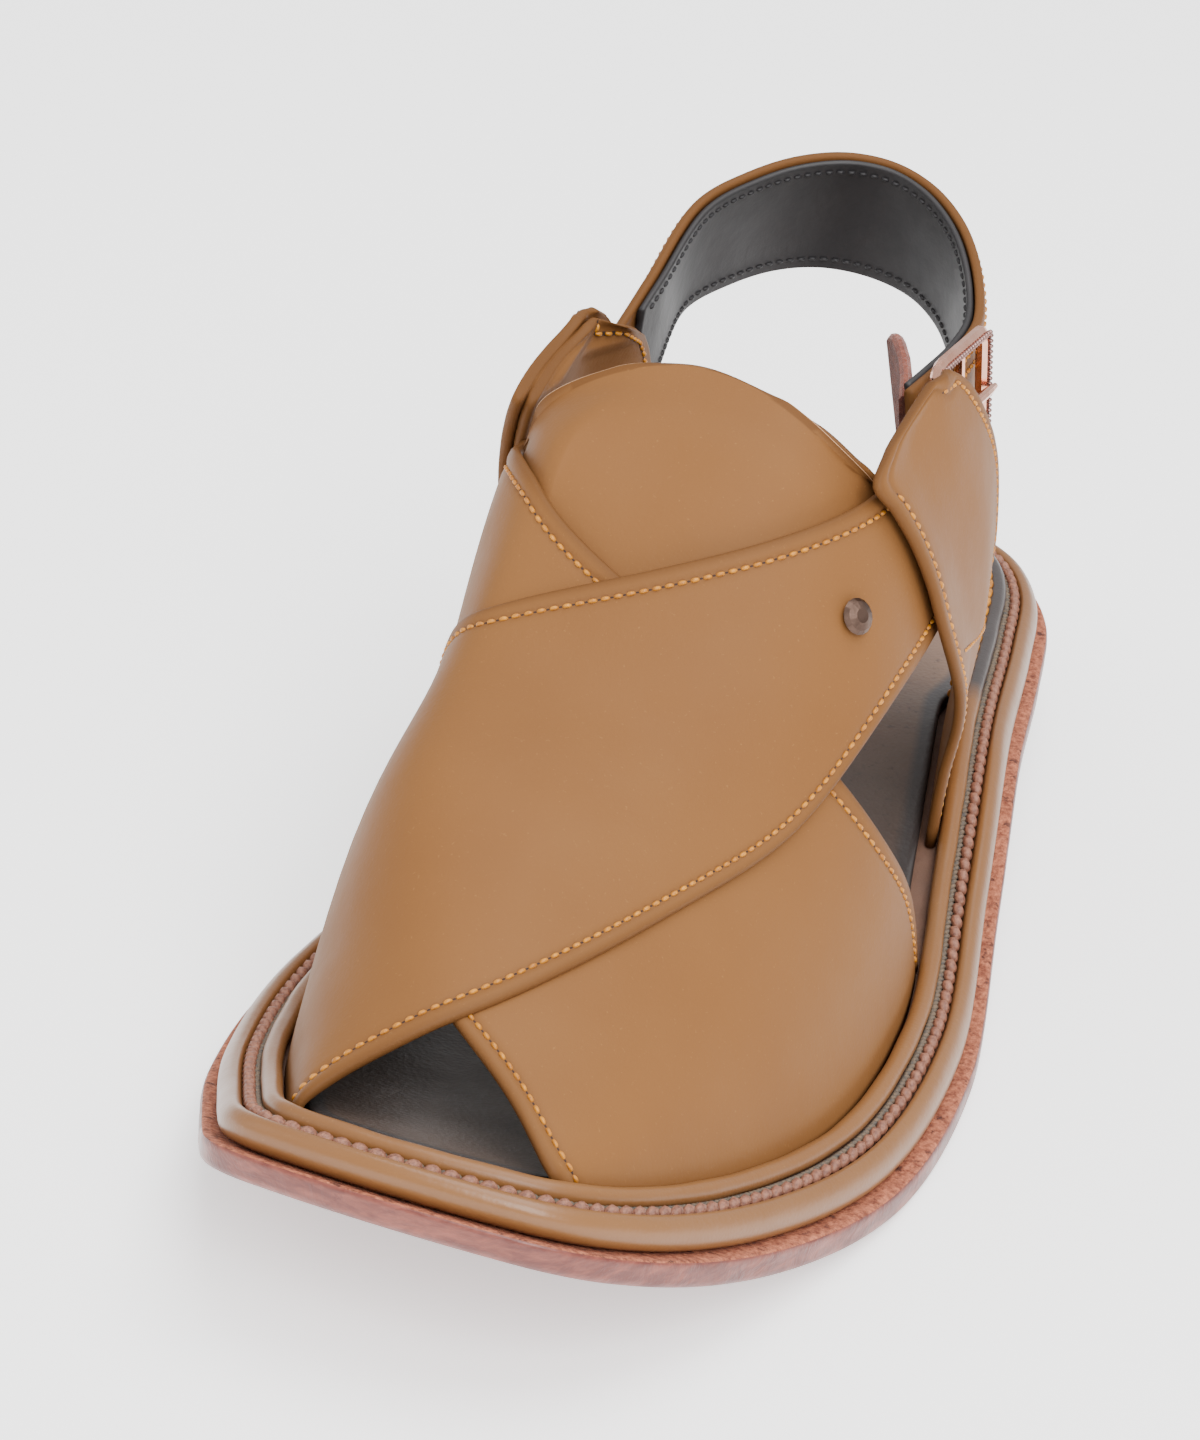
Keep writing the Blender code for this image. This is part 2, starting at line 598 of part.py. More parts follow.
def strap_edge(curve, column):
    """One edge of the back strap, from the buckle round the heel to the inner panel."""
    def on_panel(row, side, depth):
        y, z = row[0], row[column]
        t = np.array(t_at_height(y, z, side))
        return last_point(y, t) + last_normal(np.array(y), t) * depth
    outer = [(row[2 * column - 1], row[0], row[2 * column]) for row in STRAP_OUTER_END]
    loop = strap_line(curve, np.linspace(LOOP_START, LOOP_END, 9))
    inner = [on_panel(row, -1, STRAP_UNDER_PANEL) for row in STRAP_INNER_END]
    return resample(spline(np.vstack([outer, loop, inner])), STRAP_STEPS)


def back_strap(name, outer, inner, look, cut_ends=0, trim=0.0):
    """Band between the two edge curves, at two depths inside its outer face."""
    high, low = strap_edge(STRAP_TOP, 1), strap_edge(STRAP_LOW, 2)
    high, low = (side[cut_ends:len(side) - cut_ends] for side in (high, low))
    v = np.r_[0, 0.03, np.linspace(0.2, 0.8, 3), 0.97, 1.0]
    v = trim + v * (1 - 2 * trim)
    grid = high[:, None] * (1 - v[None, :, None]) + low[:, None] * v[None, :, None]
    bulge = 4 * v * (1 - v) * 0.8
    along = np.gradient(grid, axis=0)
    across = np.gradient(grid, axis=1)
    normal = np.cross(along, across)
    normal /= np.linalg.norm(normal, axis=-1)[..., None]
    normal *= np.sign((normal * (grid - np.array(HEEL_CENTRE)) * [1, 1, 0]).sum(axis=-1))[..., None]
    rounding = np.where((v <= v[0]) | (v >= v[-1]), 0.6, 0.0)[None, :, None]
    shift = bulge[None, :, None]
    outside = grid + normal * (shift - outer - rounding)
    inside = grid + normal * (shift - inner + rounding * 0.5)
    return sheet(name, outside, inside, look)


def frame_at(point, facing, up=(0, 0, 1)):
    """Axes of a small piece: along the strap, up, and out."""
    out = np.array(facing, float)
    out /= np.linalg.norm(out)
    along = np.cross(up, out)
    along /= np.linalg.norm(along)
    return np.array(point, float), along, np.cross(out, along), out


def rounded_rectangle(width, height, corner, steps=4):
    points = []
    for cx, cy, begin in ((1, 1, 0), (-1, 1, 90), (-1, -1, 180), (1, -1, 270)):
        for k in range(steps + 1):
            a = math.radians(begin + 90 * k / steps)
            x = cx * (width / 2 - corner) + corner * math.cos(a)
            y = cy * (height / 2 - corner) + corner * math.sin(a)
            points.append((x, y))
    return np.array(points)


def buckle_frame(place, look):
    """Rounded rectangular ring with a centre bar joined in."""
    origin, along, up, out = place
    path = rounded_rectangle(BUCKLE["long"], BUCKLE["tall"], BUCKLE["corner"], 5)
    bar = BUCKLE["bar"]
    count, sides = len(path), 8
    centre = path.mean(axis=0)
    rows = []
    for k, (a, b) in enumerate(path):
        tangent = path[(k + 1) % count] - path[k - 1]
        normal = np.array([tangent[1], -tangent[0]]) / np.linalg.norm(tangent)
        if np.dot(normal, path[k] - centre) < 0:
            normal = -normal
        for m in range(sides):
            w = 2 * math.pi * (m + 0.5) / sides
            r = (a, b) + normal * (math.cos(w) - 1) * bar / 2
            rows.append(origin + along * r[0] + up * r[1] + out * (BUCKLE["depth"] / 2 * (1 + math.sin(w))))
    faces = []
    for i in range(count):
        j = (i + 1) % count
        for k in range(sides):
            m = (k + 1) % sides
            faces.append((i * sides + k, i * sides + m, j * sides + m, j * sides + k))
    frame = solid("buckle_frame", rows, faces, look)
    reach = BUCKLE["tall"] / 2 - bar / 2
    route = [origin + up * h + out * BUCKLE["depth"] / 2 for h in np.linspace(-reach, reach, 3)]
    middle = bar_solid("centre_bar", route, PIN["radius"], sides, along, look)
    return join(frame, [middle])


def buckle_pin(place, look):
    """Prong lying outside the centre bar and reaching over the rear bar."""
    origin, along, up, out = place
    depth = BUCKLE["depth"] + PIN["radius"] + 0.3
    reach = np.linspace(-1.5, PIN["length"], 6)
    path = [origin + along * a + out * depth for a in reach]
    radius = PIN["radius"] * np.array([0.75, 1.0, 1.0, 1.0, 0.9, 0.6])
    return bar_solid("buckle_pin", path, radius, 8, up, look)


def buckle_pad(look):
    """Suede flap inside the buckle, with rounded rear corners."""
    low_front, high_front = (np.array(corner, float) for corner in PAD_FRONT)
    low_rear, high_rear = (np.array(corner, float) for corner in PAD_REAR)
    u = np.r_[0, 0.02, np.linspace(0.1, 0.7, 4), 0.8, 0.9, 0.96, 1.0][:, None, None]
    v = np.r_[0, 0.03, np.linspace(0.15, 0.85, 4), 0.97, 1.0][None, :, None]
    into_corner = np.clip(u - (1 - PAD_ROUND), 0, 1) / PAD_ROUND
    squeeze = 1 - np.sqrt(np.clip(1 - into_corner ** 2, 0, 1))
    w = 0.5 + (v - 0.5) * (1 - 0.5 * squeeze)
    start = low_front * (1 - w) + high_front * w
    grid = start * (1 - u) + (low_rear * (1 - w) + high_rear * w) * u
    along, across = np.gradient(grid, axis=0), np.gradient(grid, axis=1)
    normal = np.cross(along, across)
    normal /= np.linalg.norm(normal, axis=-1)[..., None]
    bow = 2.0 * np.sin(np.pi * u) * (1 - 0.3 * v)
    rim = np.where((v < 0.01) | (v > 0.99) | (u > 0.99), 0.7, 0.0)
    half = PAD_THICK / 2 - rim
    return sheet("buckle_pad", grid + normal * (bow + half), grid + normal * (bow - half), look)


def bar_solid(name, path, radius, sides, flat, look):
    """Open round bar whose section starts along a given direction."""
    path = np.asarray(path, float)
    along = np.gradient(path, axis=0)
    along /= np.linalg.norm(along, axis=1)[:, None]
    side = np.array(flat, float)[None] - along * (along @ np.array(flat, float))[:, None]
    side /= np.linalg.norm(side, axis=1)[:, None]
    other = np.cross(along, side)
    turn = np.linspace(0, 2 * math.pi, sides, endpoint=False)
    radius = np.broadcast_to(radius, len(path))[:, None, None]
    c, s = np.cos(turn)[None, :, None], np.sin(turn)[None, :, None]
    rows = path[:, None] + radius * (side[:, None] * c + other[:, None] * s)
    faces = []
    for i in range(len(path) - 1):
        for k in range(sides):
            m = (k + 1) % sides
            faces.append((i * sides + k, i * sides + m, (i + 1) * sides + m, (i + 1) * sides + k))
    faces += [tuple(range(sides))[::-1], tuple((len(path) - 1) * sides + k for k in range(sides))]
    return solid(name, rows.reshape(-1, 3), faces, look)


def stud(look):
    """Plain domed stud on the top strap."""
    point = last_point(STUD["y"], STUD["t"])
    out = last_normal(np.array(STUD["y"]), np.array(STUD["t"]))
    origin, along, up, out = frame_at(point, out)
    turn = np.linspace(0, 2 * math.pi, STUD["sides"], endpoint=False)[:, None]
    circle = STUD["radius"] * (along * np.cos(turn) + up * np.sin(turn))
    base = LAYER + STUD["lift"]
    rings = [origin + circle * scale + out * (base + height) for scale, height in STUD_PROFILE]
    points, faces = stacked(rings)
    faces += [tuple(range(STUD["sides"]))[::-1], tuple(range(len(points) - STUD["sides"], len(points)))]
    return solid("stud", points, faces, look)


def centre_on_ground():
    """Moves every mesh so that the whole shoe's box is centred on x and y and stands on z = 0."""
    meshes = [obj.data for obj in bpy.data.objects if obj.type == "MESH"]
    corners = np.array([v.co for mesh in meshes for v in mesh.vertices])
    low, high = corners.min(axis=0), corners.max(axis=0)
    shift = -np.array([(low[0] + high[0]) / 2, (low[1] + high[1]) / 2, low[2]])
    for mesh in meshes:
        for vertex in mesh.vertices:
            vertex.co = [vertex.co[k] + shift[k] for k in range(3)]
        mesh.update()


def main():
    clear_scene()
    tan = material("tan_leather", LEATHER_TAN, 0.45)
    band = material("band_leather", LEATHER_TAN, 0.32)
    slab("outsole", OUTSOLE_EDGE, sole_bottom, material("sole_leather", SOLE_RED, 0.4))
    heel_block(material("heel_stack", HEEL_DARK, 0.5))
    slab("midsole", MIDSOLE_EDGE, sole_top, band)
    slab("insole", INSOLE_EDGE, sole_top, material("insole_leather", LEATHER_DARK, 0.5))
    cord_look = material("braided_cord", CORD_BROWN, 0.6)
    cord = welt_line(CORD["inset"], CORD["height"])
    as_mesh(wire("welt_cord", cord, CORD["radius"], 1, cord_look))
    piping_look = material("piping_leather", LEATHER_TAN, 0.38)
    piping = welt_line(PIPING["inset"], PIPING["height"])
    as_mesh(wire("rand_piping", piping, PIPING["radius"], 2, piping_look))

    under = strap("upper", UNDER_FRONT, UNDER_REAR, tan, 0.0)
    top = strap("top_strap", TOP_FRONT, TOP_REAR, tan, LAYER)
    medial = panel("medial_panel", MEDIAL_PANEL, -1, tan, MEDIAL_OFFSETS)
    lateral = panel("lateral_panel", LATERAL_PANEL, 1, tan, LATERAL_OFFSETS)
    join(under, [top, medial, lateral])

    tongue(material("tongue_leather", LEATHER_TAN, 0.45))
    back_strap("heel_strap", 0.0, STRAP_WALL, tan)
    lining = material("lining_leather", LINING_BLACK, 0.45)
    back_strap("heel_strap_lining", STRAP_WALL + GAP, STRAP_WALL + GAP + LINING_WALL, lining, 1, 0.02)

    metal = material("copper_metal", COPPER, 0.28, 1.0)
    place = frame_at([BUCKLE[axis] for axis in "xyz"], (1.0, BUCKLE["turn"], BUCKLE["lean"]))
    buckle_frame(place, metal)
    buckle_pin(place, metal)
    buckle_pad(material("suede", SUEDE, 0.9))
    stud(material("bronze_stud", BRONZE, 0.35, 1.0))
    centre_on_ground()


main()
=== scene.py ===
"""Looks of the peshawari chappal, left shoe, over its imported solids.

Tables are in millimetres with y counted back from the toe, as in the part's source, apart
from the tongue's ends, which reach further here. place() moves such points into the row frame.
"""

import math

import bmesh
import bpy
import numpy as np
from mathutils import Matrix, Vector


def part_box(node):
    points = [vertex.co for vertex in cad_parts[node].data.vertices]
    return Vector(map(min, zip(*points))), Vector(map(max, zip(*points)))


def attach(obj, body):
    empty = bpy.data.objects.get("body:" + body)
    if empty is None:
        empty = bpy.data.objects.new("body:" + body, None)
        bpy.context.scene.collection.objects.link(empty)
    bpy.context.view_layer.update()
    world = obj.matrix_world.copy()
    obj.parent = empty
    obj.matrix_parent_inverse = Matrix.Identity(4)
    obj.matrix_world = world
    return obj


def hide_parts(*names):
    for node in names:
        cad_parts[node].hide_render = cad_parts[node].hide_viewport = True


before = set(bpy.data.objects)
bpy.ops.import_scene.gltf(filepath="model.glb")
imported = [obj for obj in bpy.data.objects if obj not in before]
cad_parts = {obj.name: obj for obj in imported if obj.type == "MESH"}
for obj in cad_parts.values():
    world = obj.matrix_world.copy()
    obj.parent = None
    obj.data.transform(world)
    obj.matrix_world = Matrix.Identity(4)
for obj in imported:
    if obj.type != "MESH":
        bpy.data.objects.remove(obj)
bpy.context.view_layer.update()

MM = 0.001

# Sole, as in the part's source
TOE_SPRING, SPRING_END = 26.4, 96.0
HEEL_HEIGHT, WAIST_START, WAIST_END = 13.8, 124.0, 205.0
OUTSOLE_THICK = 5.2
TOE_CORNERS = {"medial": ((-30.2, -0.6), (-20.6, 9.4)), "lateral": ((31.3, 1.0), (24.3, 13.4))}
CORNER_INSET, TOE_BULGE = 13.0, 5.0
HEEL_TIP = (-5.0, 290.0)
# y, medial x, lateral x of the outsole's edge
SIDE_ROWS = [
    (18, -39.1, 42.5), (45, -50.2, 53.2), (80, -57.1, 61.4), (120, -53.9, 60.6), (165, -45.2, 50.4),
    (210, -42.0, 39.6), (243, -41.0, 33.2), (266, -37.0, 27.4), (280, -28.6, 18.8), (287.6, -17.0, 7.2),
]
SIDE_STEPS, CROSS_STEPS = 150, 30
CORNER_PASSES, CORNER_REACH = 14, 9.0
BREAST_Y, BREAST_HOLLOW = 214.0, 4.0

# Upper
FOOT_INSET, FOOT_HEIGHT, FOOT_LOW, SKIRT = 13.3, 9.0, 5.8, 1.1
# y, ridge x, ridge z, medial flare, lateral flare, fullness of the shoulder
LAST_ROWS = [
    (8, 3.4, 36.0, 1.0, 3.0, 0.41), (35, -7.2, 48.9, 2.4, -3.6, 0.33), (70, -22.3, 65.3, 1.4, -14.0, 0.49),
    (105, -27.4, 77.1, 0.1, -14.0, 0.66), (140, -26.5, 116.8, -24.0, -6.0, 0.64),
    (165, -21.0, 134.0, -38.0, -1.0, 0.52),
    (190, -14.0, 150.0, -43.0, 5.0, 0.40), (215, -12.0, 158.0, -45.0, 5.0, 0.38),
]
FLARE_HEIGHT, T_LENGTH = 0.62, 60.0
WALL, LAYER, FRONT_LIFT = 2.0, 1.4, 1.9
# (y, t) along the surface: t is -1 at the medial welt, 0 on the ridge and 1 at the lateral welt
TOP_FRONT = [
    (12.5, -1.0), (13, -0.80), (17, -0.58), (20, -0.40), (25, -0.11), (32, 0.16), (42, 0.32),
    (54, 0.43), (71, 0.51), (93, 0.56), (115, 0.61), (134, 0.67), (148, 0.715), (160, 0.745), (173, 0.77),
]
TOP_REAR = [
    (128, -1.0), (124, -0.90), (120, -0.76), (114, -0.56), (107, -0.25), (106, -0.05), (109, 0.03),
    (114, 0.12), (118, 0.19), (123, 0.27), (129, 0.35), (137, 0.43), (148, 0.50), (160, 0.545), (173, 0.58),
]
UNDER_FRONT = [
    (14.5, 1.0), (13.5, 0.80), (14, 0.62), (17, 0.51), (20, 0.41), (24, 0.28), (29, 0.08), (40, -0.22),
    (62, -0.46), (90, -0.62), (118, -0.71), (128, -0.745), (139, -0.79), (156, -0.85), (180, -0.90),
]
UNDER_REAR = [
    (139, 1.0), (134, 0.92), (128, 0.86), (122, 0.78), (118, 0.69), (115, 0.60), (112, 0.44), (112, 0.26),
    (114, 0.11), (116, 0.06), (120, -0.04), (126, -0.26), (138, -0.47), (150, -0.58), (162, -0.63),
    (180, -0.68),
]
# height over the ground, y of the front edge, y of the rear edge; None stands for the welt
MEDIAL_FACING = [
    (58, 160, 204), (64, 158.5, 204), (73, 156, 203), (82, 153, 200.5), (89, 150.5, 197), (93, 149, 193.5),
    (95.6, 150, 189.5), (97.3, 159, 187), (98.9, 168.5, 184), (101, 174, 180),
]
FACING_OFFSETS = (-0.8, -5.9)
MEDIAL_PANEL = [
    (None, 166, 203), (36, 161.5, 204.5), (45, 160, 204.5), (55, 159, 204.5), (64, 158, 204),
    (73, 155.5, 203), (82, 152.5, 200.5), (89, 149.5, 197), (93, 147.5, 193.5), (96, 147.5, 189.5),
    (97.7, 158, 187), (99.3, 168, 184), (101.5, 174, 180),
]
LATERAL_PANEL = [
    (None, 168, 212), (35, 166.5, 213), (44, 165, 213), (54, 160, 213), (62, 154.5, 212.5), (70, 151, 211),
    (78, 149.5, 208), (86, 147.5, 202), (92, 145.5, 196.5), (96.5, 144, 192.5), (100.3, 152, 189),
    (103, 164, 185.5), (105.3, 174, 181.5),
]
# offset of each panel's outer face: just behind its front edge, and at its rear edge
MEDIAL_OFFSETS, LATERAL_OFFSETS = (1.5, 0.4), (3.0, 2.0)
# free edge of the tongue from its medial to its lateral end: x, y, height
TONGUE_ARCH = [
    (-43.5, 148.5, 86), (-42.2, 146.5, 91.5), (-38.2, 144, 98.8), (-27.5, 146.5, 106.4),
    (-15.5, 150.4, 109.4), (-3, 150.4, 108.4), (5, 148.3, 106.2), (14, 147.5, 101.0),
    (19.2, 151.5, 94.6), (21.6, 155, 89.8), (23.6, 158, 85.4),
]
TONGUE_FRONT_Y, TONGUE_THICK = 96.0, 1.8
# range of t over which x grows steadily
ARCH_T = (-0.62, 0.90)
# t of the tongue's sides at its front, and how far behind the straps it leaves the last's surface
TONGUE_T, TONGUE_MARGIN, TONGUE_LEAST = (-0.50, 0.50), 1.0, 0.5
TONGUE_ROWS, TONGUE_COLUMNS, RIDGE_PASSES = 60, 90, 60

STRAP_TOP = {
    "cx": -13.5, "half": 33.2, "cy": 197.7, "reach": 59.7,
    "z": 94.6, "rise": 16.3, "tilt": -5.1, "power": 2.0,
}
STRAP_LOW = {
    "cx": -17.0, "half": 34.0, "cy": 199.0, "reach": 62.0,
    "z": 73.0, "rise": 12.8, "tilt": -3.0, "power": 2.3,
}
# the band's outer end through the buckle: y, x at its top, top height, x at its low edge, low height
STRAP_OUTER_END = [
    (188.0, 14.6, 97.0, 16.2, 79.6), (200.0, 16.0, 97.4, 17.4, 78.4), (212.0, 16.9, 97.8, 18.2, 76.6),
]
# its inner end under the panel: y, top height, low height
STRAP_INNER_END = [(204.0, 99.5, 76.0), (193.0, 95.0, 75.0), (182.0, 91.0, 74.5)]
LOOP_START, LOOP_END = 0.16 * math.pi, 0.84 * math.pi
HEEL_CENTRE = (-14.0, 200.0, 0.0)
STRAP_WALL, LINING_WALL = 1.9, 1.3
STRAP_UNDER_PANEL = -2.1
GAP = 0.3

BUCKLE = {
    "x": 18.1, "y": 203.5, "z": 89.5, "long": 25.0, "tall": 24.0, "bar": 3.2, "depth": 2.6, "corner": 4.0,
    "lean": 0.12, "turn": -0.08,
}

# Camera: its place, the point it looks at and its roll, worked out from the two shoes of the photo
CAMERA_PLACE = (216.6, -556.1, 440.6)
CAMERA_PIXEL = (753.0, 800.0)
CAMERA_HEADING, CAMERA_PITCH, CAMERA_ROLL = 22.4, 27.16, 4.53
PHOTO_FOCAL, PHOTO_CENTRE, CLOSER = 2907.4, (600.0, 720.0), 1.62


# Shapes shared with the source

def spline(points, per_span=12):
    """Centripetal Catmull-Rom curve through the points."""
    points = np.asarray(points, float)
    ends = np.vstack([2 * points[0] - points[1], points, 2 * points[-1] - points[-2]])
    out = []
    for i in range(1, len(ends) - 2):
        span = ends[i - 1:i + 3]
        knots = run_of(span, 0.5)
        t = np.linspace(knots[1], knots[2], per_span, endpoint=False)[:, None]

        def blend(one, two, low, high):
            return ((knots[high] - t) * one + (t - knots[low]) * two) / (knots[high] - knots[low])
        thirds = [blend(span[k], span[k + 1], k, k + 1) for k in range(3)]
        pair = [blend(thirds[k], thirds[k + 1], k, k + 2) for k in range(2)]
        out.append(blend(*pair, 1, 2))
    return np.vstack(out + [points[-1:]])


def run_of(points, power=1):
    """Distance along the points from the first of them."""
    return np.r_[0, np.cumsum(np.linalg.norm(np.diff(points, axis=0), axis=1) ** power)]


def resample(points, count):
    """The polyline again, as count points at equal spacing."""
    points = np.asarray(points, float)
    run = run_of(points)
    at = np.linspace(0, run[-1], count)
    return np.stack([np.interp(at, run, points[:, k]) for k in range(points.shape[1])], axis=1)


def smoothstep(x):
    x = np.clip(x, 0, 1)
    return x * x * (3 - 2 * x)


def unit(vectors):
    return vectors / np.linalg.norm(vectors, axis=-1, keepdims=True)


def sole_bottom(y):
    y = np.asarray(y, float)
    spring = np.clip((SPRING_END - y) / SPRING_END, 0, 2)
    return TOE_SPRING * spring ** 2 + HEEL_HEIGHT * smoothstep((y - WAIST_START) / (WAIST_END - WAIST_START))


def sole_top(y):
    return sole_bottom(y) + OUTSOLE_THICK


def halves(inset):
    """Medial and lateral half of the sole's outline at an inset, each from toe corner to heel tip."""
    rows = np.array(SIDE_ROWS, float)
    loop = np.vstack([rows[:, [1, 0]], [HEEL_TIP], rows[::-1][:, [2, 0]]])
    corner = {
        side: np.array(out) + (np.array(inner) - np.array(out)) * inset / CORNER_INSET
        for side, (out, inner) in TOE_CORNERS.items()
    }
    steps = np.diff(np.vstack([[TOE_CORNERS["medial"][0]], loop, [TOE_CORNERS["lateral"][0]]]), axis=0)
    steps /= (steps ** 2).sum(axis=1)[:, None]
    tangent = unit(steps[:-1] + steps[1:])
    moved = loop + np.stack([tangent[:, 1], -tangent[:, 0]], axis=1) * inset
    whole = spline(np.vstack([[corner["medial"]], moved, [corner["lateral"]]]), 30)
    tip = int(np.argmax(whole[:, 1]))
    return [resample(side, SIDE_STEPS + 1) for side in (whole[:tip + 1], whole[tip:][::-1])]


def front_edge(inset, medial, lateral):
    s = np.linspace(0, 1, CROSS_STEPS + 1)[:, None]
    bulge = TOE_BULGE * (1 - 0.25 * inset / CORNER_INSET)
    return medial[0] * (1 - s) + lateral[0] * s - np.array([[0, 1]]) * 4 * s * (1 - s) * bulge


def ring(inset, passes=CORNER_PASSES):
    """The whole outline with its toe corners a little rounded: front, lateral side, heel, medial side."""
    medial, lateral = halves(inset)
    front = front_edge(inset, medial, lateral)
    loop = np.vstack([front, lateral[1:], medial[1:-1][::-1]])
    near = np.minimum(np.linalg.norm(loop - medial[0], axis=1), np.linalg.norm(loop - lateral[0], axis=1))
    weight = smoothstep(1 - near / CORNER_REACH)[:, None] * 0.5
    for _ in range(passes):
        loop = loop + weight * ((np.roll(loop, 1, axis=0) + np.roll(loop, -1, axis=0)) / 2 - loop)
    return loop


def table(rows):
    """Columns of a table against its first column, as one smooth function."""
    rows = np.asarray(rows, float)
    x, values = rows[:, 0], rows[:, 1:]
    slope = np.gradient(values, x, axis=0)

    def at(y):
        y = np.clip(np.asarray(y, float), x[0], x[-1])
        k = np.clip(np.searchsorted(x, y, side="right") - 1, 0, len(x) - 2)
        h = x[k + 1] - x[k]
        s = ((y - x[k]) / h)[..., None]
        h = h[..., None]
        return ((1 + 2 * s) * (1 - s) ** 2 * values[k] + s * (1 - s) ** 2 * h * slope[k]
                + s * s * (3 - 2 * s) * values[k + 1] + s * s * (s - 1) * h * slope[k + 1])
    return at


LAST = table(LAST_ROWS)
FOOT_LINES = [side[:, ::-1] for side in halves(FOOT_INSET)]


def last_point(y, t):
    """Point of the foot-shaped surface: a cubic from each welt line up to the ridge."""
    y, t = np.broadcast_arrays(np.asarray(y, float), np.asarray(t, float))
    ridge_x, ridge_z, medial, lateral, full = np.moveaxis(LAST(y), -1, 0)
    side = np.where(t < 0, -1.0, 1.0)
    foot = np.where(t < 0, np.interp(y, *FOOT_LINES[0].T), np.interp(y, *FOOT_LINES[1].T))
    flare = np.where(t < 0, medial, lateral)
    low = sole_top(y) + FOOT_HEIGHT
    s = np.clip(1 - np.abs(t), 0, 1)
    rise = ridge_z - low
    terms = ((1 - s) ** 3, 3 * (1 - s) ** 2 * s, 3 * (1 - s) * s ** 2, s ** 3)
    xs = (foot, foot + flare, ridge_x + side * full * np.abs(foot - ridge_x), ridge_x)
    zs = (low, low + FLARE_HEIGHT * rise, ridge_z, ridge_z)
    x = sum(a * b for a, b in zip(terms, xs))
    z = sum(a * b for a, b in zip(terms, zs))
    z = z - np.clip(np.abs(t) - 1, 0, 1) / (SKIRT - 1) * (FOOT_HEIGHT - FOOT_LOW)
    return np.stack([x, y, z], axis=-1)


def last_normal(y, t):
    """Outward unit normal of the surface, level at the welt."""
    level = np.clip((np.abs(t) - 0.9) / 0.1, 0, 1)
    t = np.clip(t, -0.999, 0.999)
    dy = last_point(y + 1.0, t) - last_point(y - 1.0, t)
    dt = last_point(y, t + 0.012) - last_point(y, t - 0.012)
    normal = np.cross(dt, dy)
    normal[..., 2] *= 1 - level
    return unit(normal)


def t_at_height(y, z, side):
    """The t whose point lies at height z on one side (-1 medial, 1 lateral)."""
    y, z = np.broadcast_arrays(np.asarray(y, float), np.asarray(z, float))
    near, far = np.full(y.shape, 0.02), np.ones(y.shape)
    for _ in range(30):
        middle = (near + far) / 2
        above = last_point(y, side * middle)[..., 2] > z
        near, far = np.where(above, middle, near), np.where(above, far, middle)
    return side * (near + far) / 2


def t_at_place(y, x):
    """The t whose point lies at x, on the upper part of the section at y."""
    t = np.linspace(*ARCH_T, 305)
    return float(np.interp(x, last_point(y, t)[:, 0], t))


def rear_edge(table_rows, t):
    """y of a strap's rear edge at a given t."""
    known = np.array(sorted((at, y) for y, at in table_rows))
    return np.interp(t, *known.T)


# The row frame's origin against the tables': the outsole's box gives it
low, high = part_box("outsole")
edge = ring(0.0, 0)
SHIFT = np.array([
    (low[0] + high[0]) / 2 / MM - (edge[:, 0].min() + edge[:, 0].max()) / 2,
    high[1] / MM - edge[:, 1].max(),
    0.0,
])


def place(points):
    return (np.asarray(points, float) + SHIFT) * MM


# Materials

def srgb(red, green, blue):
    """Linear colour, with alpha, from the 0 to 255 values that a screen shows."""
    shares = (value / 255 for value in (red, green, blue))
    return (*(v / 12.92 if v <= 0.04045 else ((v + 0.055) / 1.055) ** 2.4 for v in shares), 1.0)


class Shader:
    """A Principled material and short ways to wire its nodes."""

    def __init__(self, name, roughness, metallic=0.0):
        self.material = bpy.data.materials.new(name)
        self.material.use_nodes = True
        self.tree = self.material.node_tree
        self.main = self.tree.nodes["Principled BSDF"]
        self.main.inputs["Roughness"].default_value = roughness
        self.main.inputs["Metallic"].default_value = metallic
        self.where = self.tree.nodes.new("ShaderNodeTexCoord").outputs["Object"]
        self.normal = None

    def feed(self, socket, value):
        """Links a node's output to a socket, or sets the socket to a value."""
        if isinstance(value, bpy.types.NodeSocket):
            self.tree.links.new(value, socket)
        else:
            socket.default_value = value

    def node(self, kind, inputs=(), **settings):
        made = self.tree.nodes.new("ShaderNode" + kind)
        for key, value in settings.items():
            setattr(made, key, value)
        for key, value in dict(inputs).items():
            self.feed(made.inputs[key], value)
        return made

    def noise(self, scale, detail=2.0, rough=0.5, distortion=0.0, stretch=None):
        vector = self.where
        if stretch:
            vector = self.node("Mapping", {"Vector": vector, "Scale": stretch}).outputs[0]
        inputs = {
            "Vector": vector, "Scale": scale, "Detail": detail, "Roughness": rough, "Distortion": distortion,
        }
        return self.node("TexNoise", inputs).outputs["Fac"]

    def cells(self, scale):
        return self.node("TexVoronoi", {"Vector": self.where, "Scale": scale}).outputs["Distance"]

    def along(self, axis):
        """One of the coordinates X, Y and Z."""
        return self.node("SeparateXYZ", {"Vector": self.where}).outputs[axis]

    def ramp(self, value, low, high, start=0.0, end=1.0):
        inputs = {"Value": value, "From Min": low, "From Max": high, "To Min": start, "To Max": end}
        return self.node("MapRange", inputs).outputs["Result"]

    def mix(self, factor, one, two):
        return self.node("Mix", {0: factor, 6: one, 7: two}, data_type="RGBA").outputs[2]

    def attribute(self, name):
        return self.node("Attribute", attribute_name=name).outputs["Fac"]

    def bump(self, height, strength, distance):
        inputs = {"Height": height, "Strength": strength, "Distance": distance}
        if self.normal is not None:
            inputs["Normal"] = self.normal
        self.normal = self.node("Bump", inputs).outputs["Normal"]

    def finish(self, color, roughness=None, **values):
        values = {"Base_Color": color, "Roughness": roughness, "Normal": self.normal, **values}
        for key, value in values.items():
            if value is not None:
                self.feed(self.main.inputs[key.replace("_", " ")], value)
        return self.material


def s_mix(one, two, share):
    """Colour part of the way from one to another."""
    return tuple(a * (1 - share) + b * share for a, b in zip(one, two))


